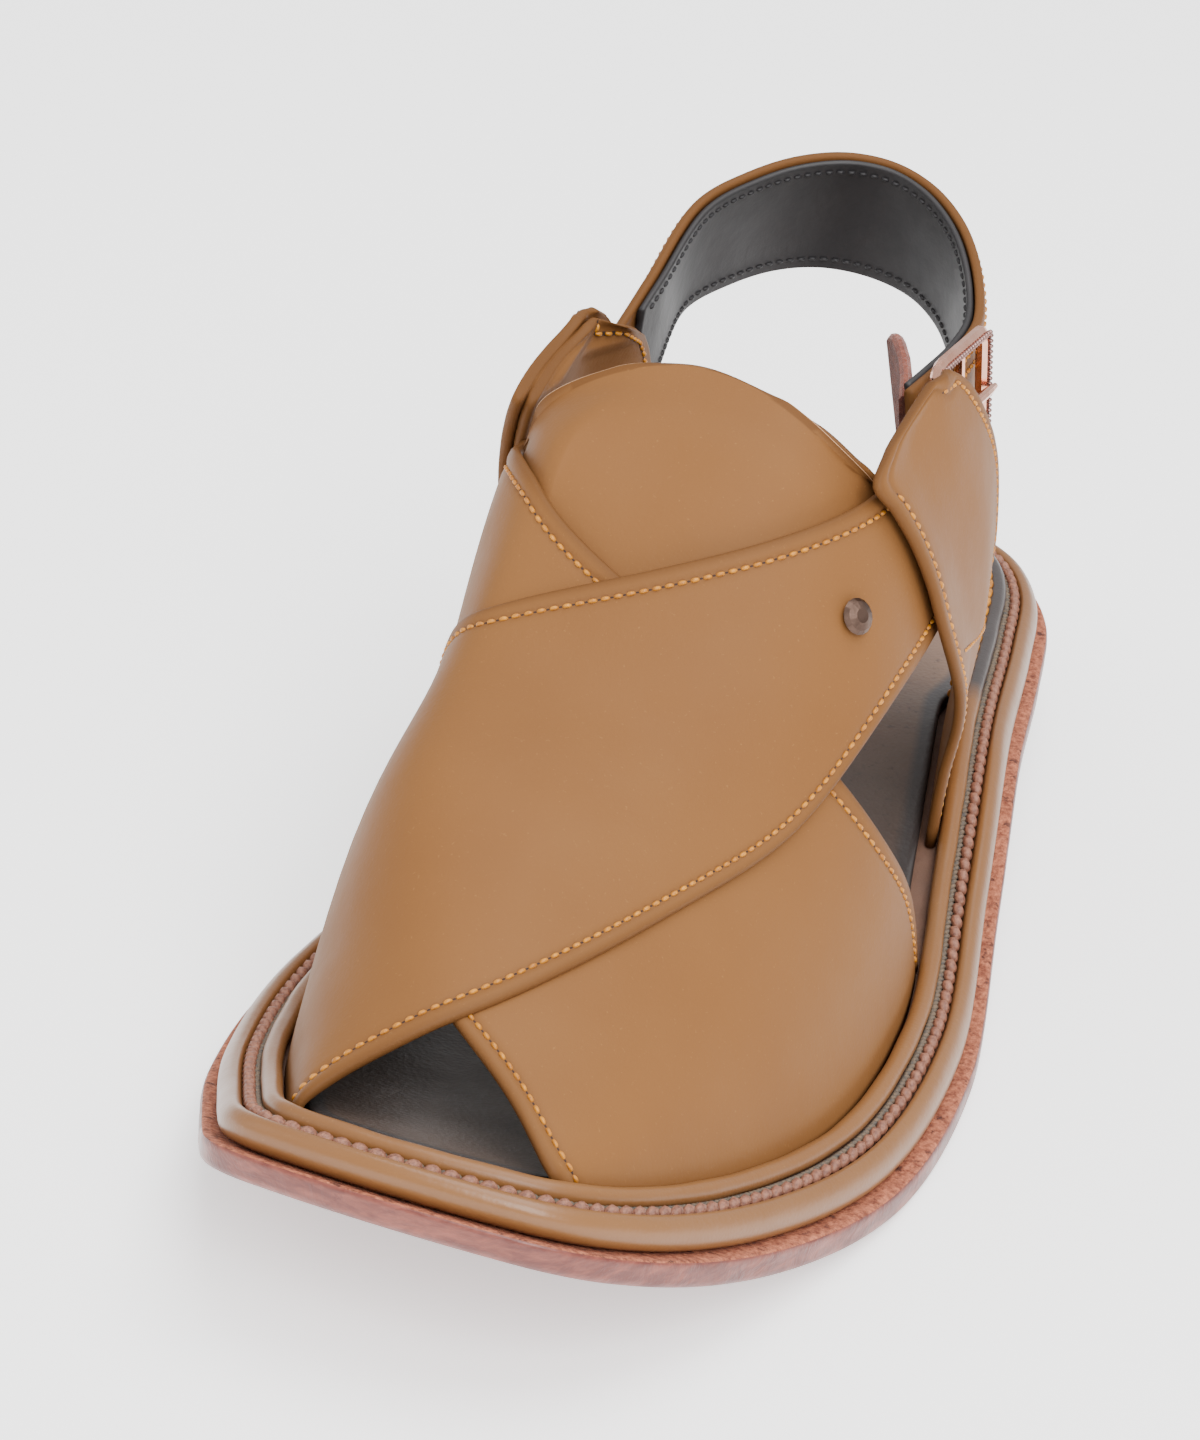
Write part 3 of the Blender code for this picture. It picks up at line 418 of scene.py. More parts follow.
# in metres along Y: where the ridge turns into the seat's dark rim, and where the insole's painted shade
# fades out
SEAT_FROM, SHADE_TO = (0.066, 0.074), (0.035, 0.085)
# height of one lift of the heel's stack, in metres
LIFT_HEIGHT = 0.0034
TAN = srgb(115, 76, 42)
TAN_DEEP = srgb(80, 50, 24)
TAN_PALE = srgb(132, 91, 52)


def tan_leather(name, gloss, grain, shine, seat_color=None):
    """Smooth finished leather: faint clouding, fine pores, browner along turned edges."""
    s = Shader(name, 0.45)
    cloud = s.ramp(s.noise(22, 3, 0.55), 0.3, 0.7)
    color = s.mix(cloud, TAN, s_mix(TAN, TAN_PALE, 0.35))
    speck = s.ramp(s.noise(1400, 2, 0.6), 0.66, 0.78)
    color = s.mix(speck, color, TAN_PALE)
    color = s.mix(s.ramp(s.attribute("rim"), 0, 1, 0, 0.75), color, TAN_DEEP)
    if seat_color:
        color = s.mix(s.ramp(s.along("Y"), *SEAT_FROM), color, seat_color)
    rough = s.ramp(s.noise(60, 4, 0.6), 0.25, 0.75, gloss - 0.05, gloss + 0.07)
    s.bump(s.cells(1500), 0.10 * grain, 0.0002)
    s.bump(s.noise(420, 4, 0.6), 0.16 * grain, 0.0004)
    s.bump(s.noise(55, 3, 0.5), 0.12, 0.002)
    return s.finish(color, rough, Specular_IOR_Level=shine)


def plain(name, color, second, scale, roughness, metallic, bump):
    """A simple material with a clouded colour and, where bump says so, a fine grain."""
    s = Shader(name, roughness, metallic)
    color = srgb(*color)
    second = srgb(*second) if second else s_mix(color, (0, 0, 0, 1), 0.2)
    shade = s.mix(s.ramp(s.noise(scale, 3, 0.6), 0.35, 0.7), color, second)
    if bump:
        s.bump(s.noise(bump[0], 3, 0.6), bump[1], bump[2])
    rough = s.ramp(s.noise(scale * 0.6, 3, 0.6), 0.3, 0.7, roughness - 0.06, roughness + 0.06)
    return s.finish(shade, rough)


def outsole_edge():
    """Burnished red-brown edge with scuffs that let a pinker leather through."""
    s = Shader("outsole_edge", 0.35)
    streak = s.ramp(s.noise(160, 5, 0.65, 0.4, (1, 1, 3.5)), 0.42, 0.66)
    color = s.mix(streak, srgb(94, 40, 31), srgb(130, 66, 51))
    pit = s.ramp(s.noise(90, 5, 0.7, 1.2), 0.62, 0.70)
    color = s.mix(pit, color, srgb(86, 30, 22))
    s.bump(s.noise(700, 4, 0.6), 0.25, 0.0003)
    s.bump(s.noise(120, 4, 0.7, 0.8), 0.5, 0.0008)
    rough = s.ramp(s.noise(130, 4, 0.6), 0.3, 0.7, 0.30, 0.52)
    return s.finish(color, rough, Coat_Weight=0.1, Coat_Roughness=0.3)


def flesh_ledge():
    """Rough flesh side of the sole leather, orange-brown with dark pits."""
    s = Shader("outsole_flesh", 0.85)
    color = s.mix(s.ramp(s.noise(900, 3, 0.7), 0.35, 0.68), srgb(120, 60, 40), srgb(196, 118, 84))
    color = s.mix(s.ramp(s.noise(380, 4, 0.7), 0.56, 0.66), color, srgb(80, 40, 30))
    s.bump(s.noise(1100, 4, 0.75), 0.9, 0.0008)
    s.bump(s.noise(300, 3, 0.6), 0.6, 0.0008)
    return s.finish(color)


def heel_stack():
    """Dark stacked leather: fine level lines between its lifts."""
    s = Shader("heel_stack", 0.42)
    turn = s.node("Math", {0: s.along("Z"), 1: 2 * math.pi / LIFT_HEIGHT}, operation="MULTIPLY").outputs[0]
    wave = s.node("Math", {0: turn}, operation="COSINE").outputs[0]
    line = s.ramp(wave, 0.90, 1.0)
    color = s.mix(s.ramp(s.noise(220, 4, 0.6, 0.2, (1, 1, 4)), 0.35, 0.7), srgb(52, 36, 31), srgb(82, 54, 44))
    color = s.mix(line, color, srgb(28, 18, 15))
    s.bump(line, -0.4, 0.0005)
    s.bump(s.noise(600, 3, 0.6), 0.25, 0.0003)
    return s.finish(color)


def insole_leather():
    """Smooth taupe leather, clouded at random, with a dark grey rim and painted shade that darkens its front
    part towards the toe.
    """
    s = Shader("insole_leather", 0.45)
    color = s.mix(s.ramp(s.noise(30, 4, 0.6), 0.3, 0.72), srgb(112, 86, 70), srgb(134, 106, 88))
    color = s.mix(s.ramp(s.noise(700, 3, 0.6), 0.6, 0.75), color, srgb(86, 64, 54))
    color = s.mix(s.attribute("rim"), color, srgb(72, 66, 66))
    # painted shade: in front of SHADE_TO the insole is darkened almost to black, standing for the shade under
    # the straps and panels
    color = s.mix(s.ramp(s.along("Y"), *SHADE_TO, 0.82, 0), color, srgb(30, 23, 20))
    s.bump(s.cells(1100), 0.15, 0.0003)
    s.bump(s.noise(140, 4, 0.6), 0.25, 0.0007)
    rough = s.ramp(s.noise(45, 3, 0.5), 0.3, 0.7, 0.38, 0.5)
    return s.finish(color, rough)


def suede():
    s = Shader("suede", 0.95)
    color = s.mix(s.ramp(s.noise(620, 4, 0.7), 0.35, 0.7), srgb(104, 46, 32), srgb(152, 82, 60))
    s.bump(s.noise(1500, 4, 0.8), 0.9, 0.0006)
    s.bump(s.noise(260, 3, 0.6), 0.5, 0.0008)
    return s.finish(color, Sheen_Weight=0.35, Sheen_Roughness=0.5)


# name, colour, darker colour, scale of the clouding, roughness, metallic, and the bump's scale,
# strength and distance
PLAIN = {
    "raw": ("raw_edge", (190, 148, 112), None, 900, 0.8, 0.0, (1200, 0.5, 0.0003)),
    "dark_thread": ("lining_thread", (30, 28, 30), None, 200, 0.6, 0.0, None),
    "stud_bead": ("buckle_bead", (150, 118, 112), None, 200, 0.35, 1.0, None),
    "lining": ("lining_grey", (58, 51, 49), (44, 39, 38), 120, 0.7, 0.0, (900, 0.35, 0.0003)),
    "strap_lining": ("lining_black", (34, 31, 32), (25, 23, 25), 90, 0.6, 0.0, (420, 0.3, 0.0004)),
    "thread": ("gold_thread", (190, 124, 22), (144, 84, 12), 900, 0.5, 0.0, None),
    "hole": ("needle_hole", (48, 26, 14), None, 200, 0.85, 0.0, None),
    "bead": ("welt_bead", (148, 98, 76), (96, 58, 46), 1500, 0.55, 0.0, (2500, 0.6, 0.0003)),
    "strand": ("welt_strand", (112, 92, 72), (66, 64, 62), 1300, 0.75, 0.0, (2500, 0.6, 0.0003)),
    "groove": ("welt_groove", (98, 68, 52), None, 200, 0.7, 0.0, (900, 0.4, 0.0004)),
    "copper": ("copper_polished", (226, 178, 158), (206, 148, 124), 200, 0.24, 1.0, (300, 0.08, 0.0004)),
    "bronze": ("bronze_dark", (98, 78, 68), (60, 46, 40), 200, 0.4, 1.0, (500, 0.25, 0.0004)),
}
LOOKS = {
    "tan": tan_leather("tan_leather_dressed", 0.54, 1.0, 0.10),
    "band": tan_leather("band_leather_dressed", 0.32, 0.8, 0.42),
    "piping": tan_leather("piping_leather_dressed", 0.36, 0.8, 0.32, srgb(56, 50, 49)),
    "edge": outsole_edge(),
    "flesh": flesh_ledge(),
    "heel": heel_stack(),
    "insole": insole_leather(),
    "suede": suede(),
    **{look: plain(*values) for look, values in PLAIN.items()},
}


# Meshes

def add_object(name, data):
    obj = bpy.data.objects.new(name, data)
    bpy.context.scene.collection.objects.link(obj)
    return obj


def mesh_object(name, points, faces, looks, indices=None, rim=None):
    """One smooth piece from table points, riding on the shoe's only body."""
    mesh = bpy.data.meshes.new(name)
    mesh.from_pydata([tuple(p) for p in place(points)], [], [tuple(int(i) for i in f) for f in faces])
    for look in looks:
        mesh.materials.append(LOOKS[look])
    if indices is not None:
        mesh.polygons.foreach_set("material_index", list(indices))
    if rim is not None:
        shade = mesh.attributes.new("rim", "FLOAT", "POINT")
        shade.data.foreach_set("value", np.asarray(rim, np.float32).ravel())
    mesh.polygons.foreach_set("use_smooth", [True] * len(mesh.polygons))
    mesh.update()
    bm = bmesh.new()
    bm.from_mesh(mesh)
    bmesh.ops.recalc_face_normals(bm, faces=bm.faces)
    bm.to_mesh(mesh)
    bm.free()
    obj = add_object(name, mesh)
    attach(obj, "root")
    return obj


def lathe_faces(count, rings):
    """Quads between consecutive closed rings of count points."""
    return [
        (k * count + i, k * count + (i + 1) % count, (k + 1) * count + (i + 1) % count, (k + 1) * count + i)
        for k in range(rings - 1) for i in range(count)
    ]


def cap(outline, first, height, start):
    """Grid face over a ring that starts at index first; new points are numbered from start."""
    points, faces = [], []
    lateral = [first + CROSS_STEPS + i for i in range(SIDE_STEPS + 1)]
    medial = [first] + [first + len(outline) - i for i in range(1, SIDE_STEPS)]
    rows = [[first + j for j in range(CROSS_STEPS + 1)]]
    front = outline[:CROSS_STEPS + 1]
    chord = front[0] + (front[-1] - front[0]) * np.linspace(0, 1, CROSS_STEPS + 1)[:, None]
    for i in range(1, SIDE_STEPS):
        a, b = outline[medial[i] - first], outline[lateral[i] - first]
        keep = max(0.0, 1 - i / 14.0)
        row = [medial[i]]
        for j in range(1, CROSS_STEPS):
            p = a + (b - a) * j / CROSS_STEPS + (front[j] - chord[j]) * keep
            row.append(start + len(points))
            points.append((p[0], p[1], height(p[1])))
        rows.append(row + [lateral[i]])
    for one, two in zip(rows, rows[1:]):
        faces += [(one[j], one[j + 1], two[j + 1], two[j]) for j in range(CROSS_STEPS)]
    faces += [(rows[-1][j], rows[-1][j + 1], lateral[-1]) for j in range(CROSS_STEPS)]
    return points, faces


def seat_share(y):
    """1 behind the side panels, 0 in front of them."""
    return smoothstep((y - 206) / 10)


def slab(name, edge, base, looks, look_of, rim=0.0, wider=0.0):
    """Layer of the sole through rings of (inset, height), wider at the seat by a given amount.

    look_of gives each band's material.
    """
    rings = []
    for inset, h in edge:
        outline = ring(inset)
        outline = outline + (ring(inset - wider) - outline) * seat_share(outline[:, 1:])
        rings.append(np.column_stack([outline, base(outline[:, 1]) + h]))
    count = len(rings[0])
    points = list(np.vstack(rings))
    faces = lathe_faces(count, len(rings))
    indices = [look_of(edge[k], edge[k + 1]) for k in range(len(rings) - 1) for _ in range(count)]
    for k, (inset, h) in ((0, edge[0]), (len(rings) - 1, edge[-1])):
        more, made = cap(rings[k][:, :2], k * count, lambda y, h=h: float(base(y)) + h, len(points))
        points += more
        faces += made
        indices += [look_of(edge[k], edge[k])] * len(made)
    shade = np.zeros(len(points))
    shade[:count * len(rings)] = rim
    return mesh_object(name, points, faces, looks, indices, shade)


def tube(name, path, radii, look, sides=16):
    """Closed round welt along a path, with its radius at each point."""
    along = unit(np.roll(path, -1, axis=0) - np.roll(path, 1, axis=0))
    side = unit(np.cross(along, [0, 0, 1.0]))
    up = np.cross(side, along)
    turns = [2 * math.pi * k / sides for k in range(sides)]
    rings = [path + radii[:, None] * (side * math.cos(a) + up * math.sin(a)) for a in turns]
    total = sides * len(path)
    faces = [tuple(i % total for i in face) for face in lathe_faces(len(path), sides + 1)]
    return mesh_object(name, np.vstack(rings), faces, [look], None, np.zeros(total))


def creased(name, points):
    """How far each point of one piece moves along its normal: a sum of the listed troughs and ridges."""
    total = np.zeros(points.shape[:-1])
    for piece, middle, across, length, width, depth in CREASES:
        if piece == name:
            away = points - np.array(middle, float)
            step = away @ unit(np.array(across))
            rest = np.sqrt(np.maximum((away ** 2).sum(axis=-1) - step ** 2, 0))
            total += depth * np.exp(-((step / width) ** 2) - (rest / length) ** 2)
    return total


def leather(name, grid, normal, thick, looks, pillow):
    """Sheet of leather over a grid of outer points, with rolled edges and a valley along the stitch rows.

    pillow is the distance in mm of each grid point from the nearest free edge. The looks are those of
    the outer face, of the inner face and, where there is a third, of the cut edge.
    """
    grid = grid + normal * creased(name, grid)[..., None]
    radius = thick / 2 - 0.05
    d = np.clip(pillow, 0, None)
    roll = radius - np.sqrt(np.clip(radius ** 2 - np.clip(radius - d, 0, None) ** 2, 0, None))
    valley = 0.28 * np.exp(-((d - STITCH_INSET) / 0.75) ** 2) - 0.12 * np.exp(-((d - 1.9) / 0.8) ** 2)
    outer = grid - normal * (roll + valley)[..., None]
    inner = grid - normal * (thick - roll)[..., None]
    rows, columns = d.shape
    points = np.vstack([outer.reshape(-1, 3), inner.reshape(-1, 3)])
    half = rows * columns
    faces, indices = [], []
    for i in range(rows - 1):
        for j in range(columns - 1):
            a, e = i * columns + j, (i + 1) * columns + j
            b, c = a + 1, e + 1
            faces += [(a, b, c, e), (half + e, half + c, half + b, half + a)]
            turned = min(d[i, j], d[i, j + 1], d[i + 1, j], d[i + 1, j + 1]) < 2.2
            indices += [0, 0 if turned else 1]
    rim = list(range(columns)) + [i * columns + columns - 1 for i in range(1, rows)]
    rim += [(rows - 1) * columns + j for j in range(columns - 2, -1, -1)]
    rim += [i * columns for i in range(rows - 2, 0, -1)]
    for k in range(len(rim)):
        a, b = rim[k], rim[(k + 1) % len(rim)]
        faces.append((b, a, half + a, half + b))
        indices.append(len(looks) // 3 * 2)
    shade = np.exp(-((d / 1.6) ** 2)) * 0.8 + 0.35 * np.exp(-((d - STITCH_INSET) / 0.9) ** 2)
    made = mesh_object(name, points, faces, looks, indices, np.vstack([shade, shade]).ravel())
    return {"piece": made, "outer": outer, "inner": inner, "normal": normal, "pillow": pillow}


# soft troughs and ridges: piece, x, y and z of the middle, direction across it, length, width, depth
CREASES = [
    ("under_strap", (-36, 84, 46), (0.3, 1.0, 0.3), 16, 3.2, -0.30),
    ("under_strap", (-46, 66, 32), (0.6, 0.8, 0.2), 9, 2.0, -0.28),
    ("under_strap", (-47, 72, 31), (0.6, 0.8, 0.2), 8, 1.6, 0.20),
    ("under_strap", (30, 60, 44), (0.2, 1.0, 0.4), 18, 5.0, -0.30),
    ("top_strap", (-30, 46, 44), (0.5, 0.8, 0.3), 14, 3.5, -0.30),
    ("top_strap", (-43, 27, 31), (0.8, 0.6, 0.2), 5, 1.3, -0.30),
    ("top_strap", (-44, 31, 31), (0.8, 0.6, 0.2), 5, 1.1, -0.25),
    ("top_strap", (-8, 96, 72), (0.2, 1.0, 0.4), 20, 7.0, -0.35),
    ("top_strap", (14, 112, 82), (0.4, 1.0, 0.3), 14, 6.0, 0.30),
    ("tongue_dressed", (-14, 132, 100), (0.1, 1.0, 0.4), 26, 6.0, -0.5),
    ("medial_panel", (-46, 180, 66), (0.0, 0.4, 1.0), 14, 5.0, -0.35),
    ("lateral_panel", (30, 184, 66), (0.0, 0.5, 1.0), 15, 5.0, -0.35),
    ("heel_strap_dressed", (-30, 247, 92), (0.9, 0.4, 0.0), 12, 6.0, -0.25),
]
STITCH_INSET = 3.5
# the straps' grids are smoothed this often along their length
STRAP_PASSES = 60
EDGE_COLUMNS = [0.0, 0.08, 0.25, 0.5, 0.85, 1.3, 1.9, 2.5, 3.0, 3.5, 4.0, 4.6, 5.6]


def columns_for(width, middle):
    """Distances across a strap of one width, close together by its edges, as (rows, columns)."""
    width = np.asarray(width, float)[:, None]
    near = np.array(EDGE_COLUMNS)[None, :] * np.minimum(1.0, width / 16.0)
    core = near[:, -1:] + (width - 2 * near[:, -1:]) * np.linspace(0, 1, middle + 2)[None, 1:-1]
    return np.hstack([near, core, width - near[:, ::-1]])


def across_run(points):
    """Distance along each row of a grid of points, from its first column."""
    steps = np.linalg.norm(np.diff(points, axis=1), axis=-1)
    return np.concatenate([np.zeros((len(points), 1)), np.cumsum(steps, axis=1)], axis=1)


def edge_grid(front, rear, along, middle):
    """Grid of (y, t) between two edges with columns at set distances from them, in mm."""
    scale = np.array([1, T_LENGTH])
    one, two = (resample(spline(np.array(edge) * scale, 16), along) / scale for edge in (front, rear))
    fine = np.linspace(0, 1, 41)[None, :, None]
    across = one[:, None] * (1 - fine) + two[:, None] * fine
    points = last_point(across[..., 0], across[..., 1])
    run = across_run(points)
    distance = columns_for(run[:, -1], middle)
    v = np.stack([np.interp(distance[i], run[i], fine[0, :, 0]) for i in range(along)])
    pillow = np.minimum(distance, run[:, -1:] - distance)
    y, t = (one[:, k:k + 1] * (1 - v) + two[:, k:k + 1] * v for k in (0, 1))
    return y, t, pillow


def crossing_strap(name, front, rear, high):
    """One of the two crossing straps, from under the rand to under the far panel."""
    y, t, pillow = edge_grid(front, rear, 150, 22)
    end = 1.0 if t[0, 0] > 0 else -1.0
    y = np.vstack([y[:1], y])
    t = np.vstack([np.full_like(t[:1], end * SKIRT), t])
    pillow = np.vstack([pillow[:1], pillow])
    u = np.r_[0, np.linspace(0, 1, len(y) - 1)][:, None]
    lift = high * smoothstep(u / 0.3)
    normal = last_normal(y, t)
    grid = last_point(y, t) + normal * np.broadcast_to(lift, y.shape)[..., None]
    for _ in range(STRAP_PASSES):
        grid[1:-1] += 0.5 * ((grid[:-2] + grid[2:]) / 2 - grid[1:-1])
    return leather(name, grid, normal, WALL, ["tan", "lining"], pillow)


# spacing of the rows in the top tenth of a side panel
PANEL_TOP_SHARES = [
    0.14, 0.28, 0.4, 0.5, 0.6, 0.68, 0.75, 0.81, 0.86, 0.9, 0.93, 0.955, 0.975, 0.987, 0.996, 1.0,
]


def side_panel(name, rows, side, offsets):
    """A side panel standing on the welt, lifted over the straps at its front edge."""
    count = 70
    run = spline([(10 * level, front, rear) for level, (_, front, rear) in enumerate(rows)], 12)
    up = np.r_[np.linspace(0, 0.9, count - len(PANEL_TOP_SHARES)), 0.9 + 0.1 * np.array(PANEL_TOP_SHARES)]
    level = up * (len(rows) - 1)
    y_front, y_rear = (np.interp(level, run[:, 0] / 10, run[:, k])[:, None] for k in (1, 2))
    fine = np.linspace(0, 1, 41)

    def at(fraction):
        y = y_front * (1 - fraction) + y_rear * fraction
        z = np.interp(level, range(len(rows)), [row[0] or 0.0 for row in rows])[:, None]
        if rows[0][0] is None:
            z = z + np.clip(1 - level, 0, 1)[:, None] * (sole_top(y) + FOOT_HEIGHT)
        return y, t_at_height(y, z, side)

    y, t = at(fine[None, :])
    points = last_point(y, t)
    length = across_run(points)
    distance = columns_for(length[:, -1], 16)
    v = np.stack([np.interp(distance[i], length[i], fine) for i in range(count)])
    y, t = at(v)
    points = last_point(y, t)
    to_top = np.linalg.norm(points - points[-1:], axis=-1)
    pillow = np.minimum(np.minimum(distance, length[:, -1:] - distance), to_top)
    foot_t = side * SKIRT if rows[0][0] is None else t[:1]
    y, t = np.vstack([y[:1], y]), np.vstack([np.zeros_like(t[:1]) + foot_t, t])
    pillow, v = np.vstack([pillow[:1], pillow]), np.vstack([v[:1], v])
    rise = np.r_[0, up][:, None]
    rear = smoothstep((v - 0.55) / 0.4)
    outer = (offsets[0] * (1 - rear) + offsets[1] * rear) * smoothstep(rise / 0.35)
    fade = smoothstep(rise / 0.25) * smoothstep((1 - rise) / 0.22)
    outer = outer + FRONT_LIFT * smoothstep(1 - v / 0.32) * fade
    normal = last_normal(y, t)
    grid = last_point(y, t) + normal * outer[..., None]
    return leather(name, grid, normal, WALL, ["tan", "tan"], pillow)


def tongue_piece():
    """The plain tab under both straps, with its raw cut edge."""
    edge = resample(spline(TONGUE_ARCH, 30), TONGUE_COLUMNS)
    edge_t = np.array([t_at_place(y, x) for x, y, _ in edge])
    rows = np.r_[np.linspace(0, 0.97, TONGUE_ROWS), 0.98, 0.988, 0.994, 0.998, 1.0][:, None]
    front_t = np.linspace(*TONGUE_T, TONGUE_COLUMNS)
    y = TONGUE_FRONT_Y * (1 - rows) + edge[None, :, 1] * rows
    t = front_t * (1 - rows) + edge_t[None] * rows
    on_last = last_point(y, t) - last_normal(y, t) * (WALL + 0.5)
    leaves = np.maximum(rear_edge(UNDER_REAR, t), rear_edge(TOP_REAR, t))
    run = edge[None, :, 1] - leaves - TONGUE_MARGIN
    free = smoothstep((y - leaves - TONGUE_MARGIN) / np.maximum(run, TONGUE_LEAST))
    free = np.where(run > TONGUE_LEAST, free, 0)
    outer = on_last + (edge - on_last[-1])[None] * free[..., None]
    for _ in range(RIDGE_PASSES):
        middle = (outer[:, :-2] + outer[:, 2:]) / 2
        outer[:-1, 1:-1] += 0.5 * free[:-1, 1:-1, None] * (middle[:-1] - outer[:-1, 1:-1])
    normal = unit(np.cross(np.gradient(outer, axis=1), np.gradient(outer, axis=0)))
    behind = np.linalg.norm(outer - outer[-1:], axis=-1)
    pillow = np.where(behind > 0.7, 9.0, behind)
    made = leather("tongue_dressed", outer, normal, TONGUE_THICK, ["tan", "lining", "raw"], pillow)
    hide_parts("tongue")


def strap_line(curve, turn):
    """Point of the back strap's edge; turn runs from 0 at the lateral side to pi at the medial side."""
    c, s = np.cos(turn), np.sin(turn)
    x, y = (np.sign(w) * np.abs(w) ** (2 / curve["power"]) for w in (c, s))
    return np.stack([curve["cx"] + curve["half"] * x, curve["cy"] + curve["reach"] * y,
                     curve["z"] + curve["rise"] * s + curve["tilt"] * c], axis=-1)


def strap_edge(curve, column, steps):
    """One edge of the back strap, from the buckle round the heel to the inner panel."""
    def on_panel(row, side, depth):
        y, z = row[0], row[column]
        t = t_at_height(y, z, side)
        return last_point(y, t) + last_normal(np.array(y), t) * depth
    outer = [(row[2 * column - 1], row[0], row[2 * column]) for row in STRAP_OUTER_END]
    loop = strap_line(curve, np.linspace(LOOP_START, LOOP_END, 9))
    inner = [on_panel(row, -1, STRAP_UNDER_PANEL) for row in STRAP_INNER_END]
    return resample(spline(np.vstack([outer, loop, inner]), 24), steps)


def back_strap(name, depth, thick, looks, trim, start, end):
    """Band between its two edge curves, some way inside its outer face; start and end drop rows."""
    steps = 160
    high, low = strap_edge(STRAP_TOP, 1, steps), strap_edge(STRAP_LOW, 2, steps)
    high, low = (side[start:steps - end] for side in (high, low))
    width = np.linalg.norm(high - low, axis=1)
    distance = columns_for(width, 10)
    v = distance / width[:, None]
    pillow = np.minimum(distance, width[:, None] - distance)
    v = trim + v * (1 - 2 * trim)
    grid = high[:, None] * (1 - v[..., None]) + low[:, None] * v[..., None]
    normal = unit(np.cross(np.gradient(grid, axis=0), (low - high)[:, None] * np.ones_like(grid)))
    normal *= np.sign((normal * (grid - np.array(HEEL_CENTRE)) * [1, 1, 0]).sum(axis=-1))[..., None]
    bulge = 4 * v * (1 - v) * 0.8
    grid = grid + normal * (bulge - depth)[..., None]
    return leather(name, grid, normal, thick, looks, pillow)


# Stitches and cords

def row_of(sheet, inset, which, face="outer"):
    """The polyline at a distance from one long edge of a leather piece: points and normals."""
    outer, pillow = sheet[face], sheet["pillow"]
    normal = sheet["normal"] if face == "outer" else -sheet["normal"]
    columns = outer.shape[1]
    half = columns // 2
    picks = list(range(half) if which == "first" else range(columns - 1, half, -1))
    points, normals = [], []
    for i in range(outer.shape[0]):
        d = pillow[i, picks]
        order = np.maximum.accumulate(d)
        points.append([np.interp(inset, order, outer[i, picks, k]) for k in range(3)])
        normals.append([np.interp(inset, order, normal[i, picks, k]) for k in range(3)])
    return np.array(points), np.array(normals)


def nearest_on(sheet, y, z, side):
    """Outer point of a sheet, and its normal, nearest to the last at a y and a height."""
    target = last_point(y, t_at_height(y, z, side))
    away = np.linalg.norm(sheet["outer"] - target, axis=-1)
    at = np.unravel_index(away.argmin(), away.shape)
    return sheet["outer"][at], sheet["normal"][at]


# y and height of a thin row that runs forward and up over the lateral panel
LATERAL_DIAGONAL = [(209, 47), (190, 53), (174, 58), (163, 60)]
# a stitch's rings: part of its length, of its radius, and its lift as a part of the radius
CAPSULE = [
    (-0.5, 0.30, -0.20), (-0.42, 0.78, 0.02), (-0.22, 1.0, 0.30), (0.0, 1.04, 0.42),
    (0.22, 1.0, 0.30), (0.42, 0.78, 0.02), (0.5, 0.30, -0.20),
]
CAPSULE_SIDES, HOLE_SIDES, HOLE_WIDTH = 6, 8, 1.0
CAPSULE_FACES = lathe_faces(CAPSULE_SIDES, len(CAPSULE)) + [
    tuple(end * CAPSULE_SIDES + i for i in range(CAPSULE_SIDES)) for end in (0, len(CAPSULE) - 1)
]
HOLE_FACES = [(i, (i + 1) % HOLE_SIDES, HOLE_SIDES) for i in range(HOLE_SIDES)]
# kind of stitch: its piece, and the name of that piece's material slot
STITCH_PIECES = {
    "thread": ("stitch_threads", "tan_leather"), "hole": ("needle_holes", "tan_leather"),
    "dark_thread": ("lining_threads", "lining_leather"), "bead": ("welt_cord_beads", "braided_cord"),
    "strand": ("welt_cord_strands", "braided_cord"), "stud_bead": ("buckle_beads", "copper_metal"),
}


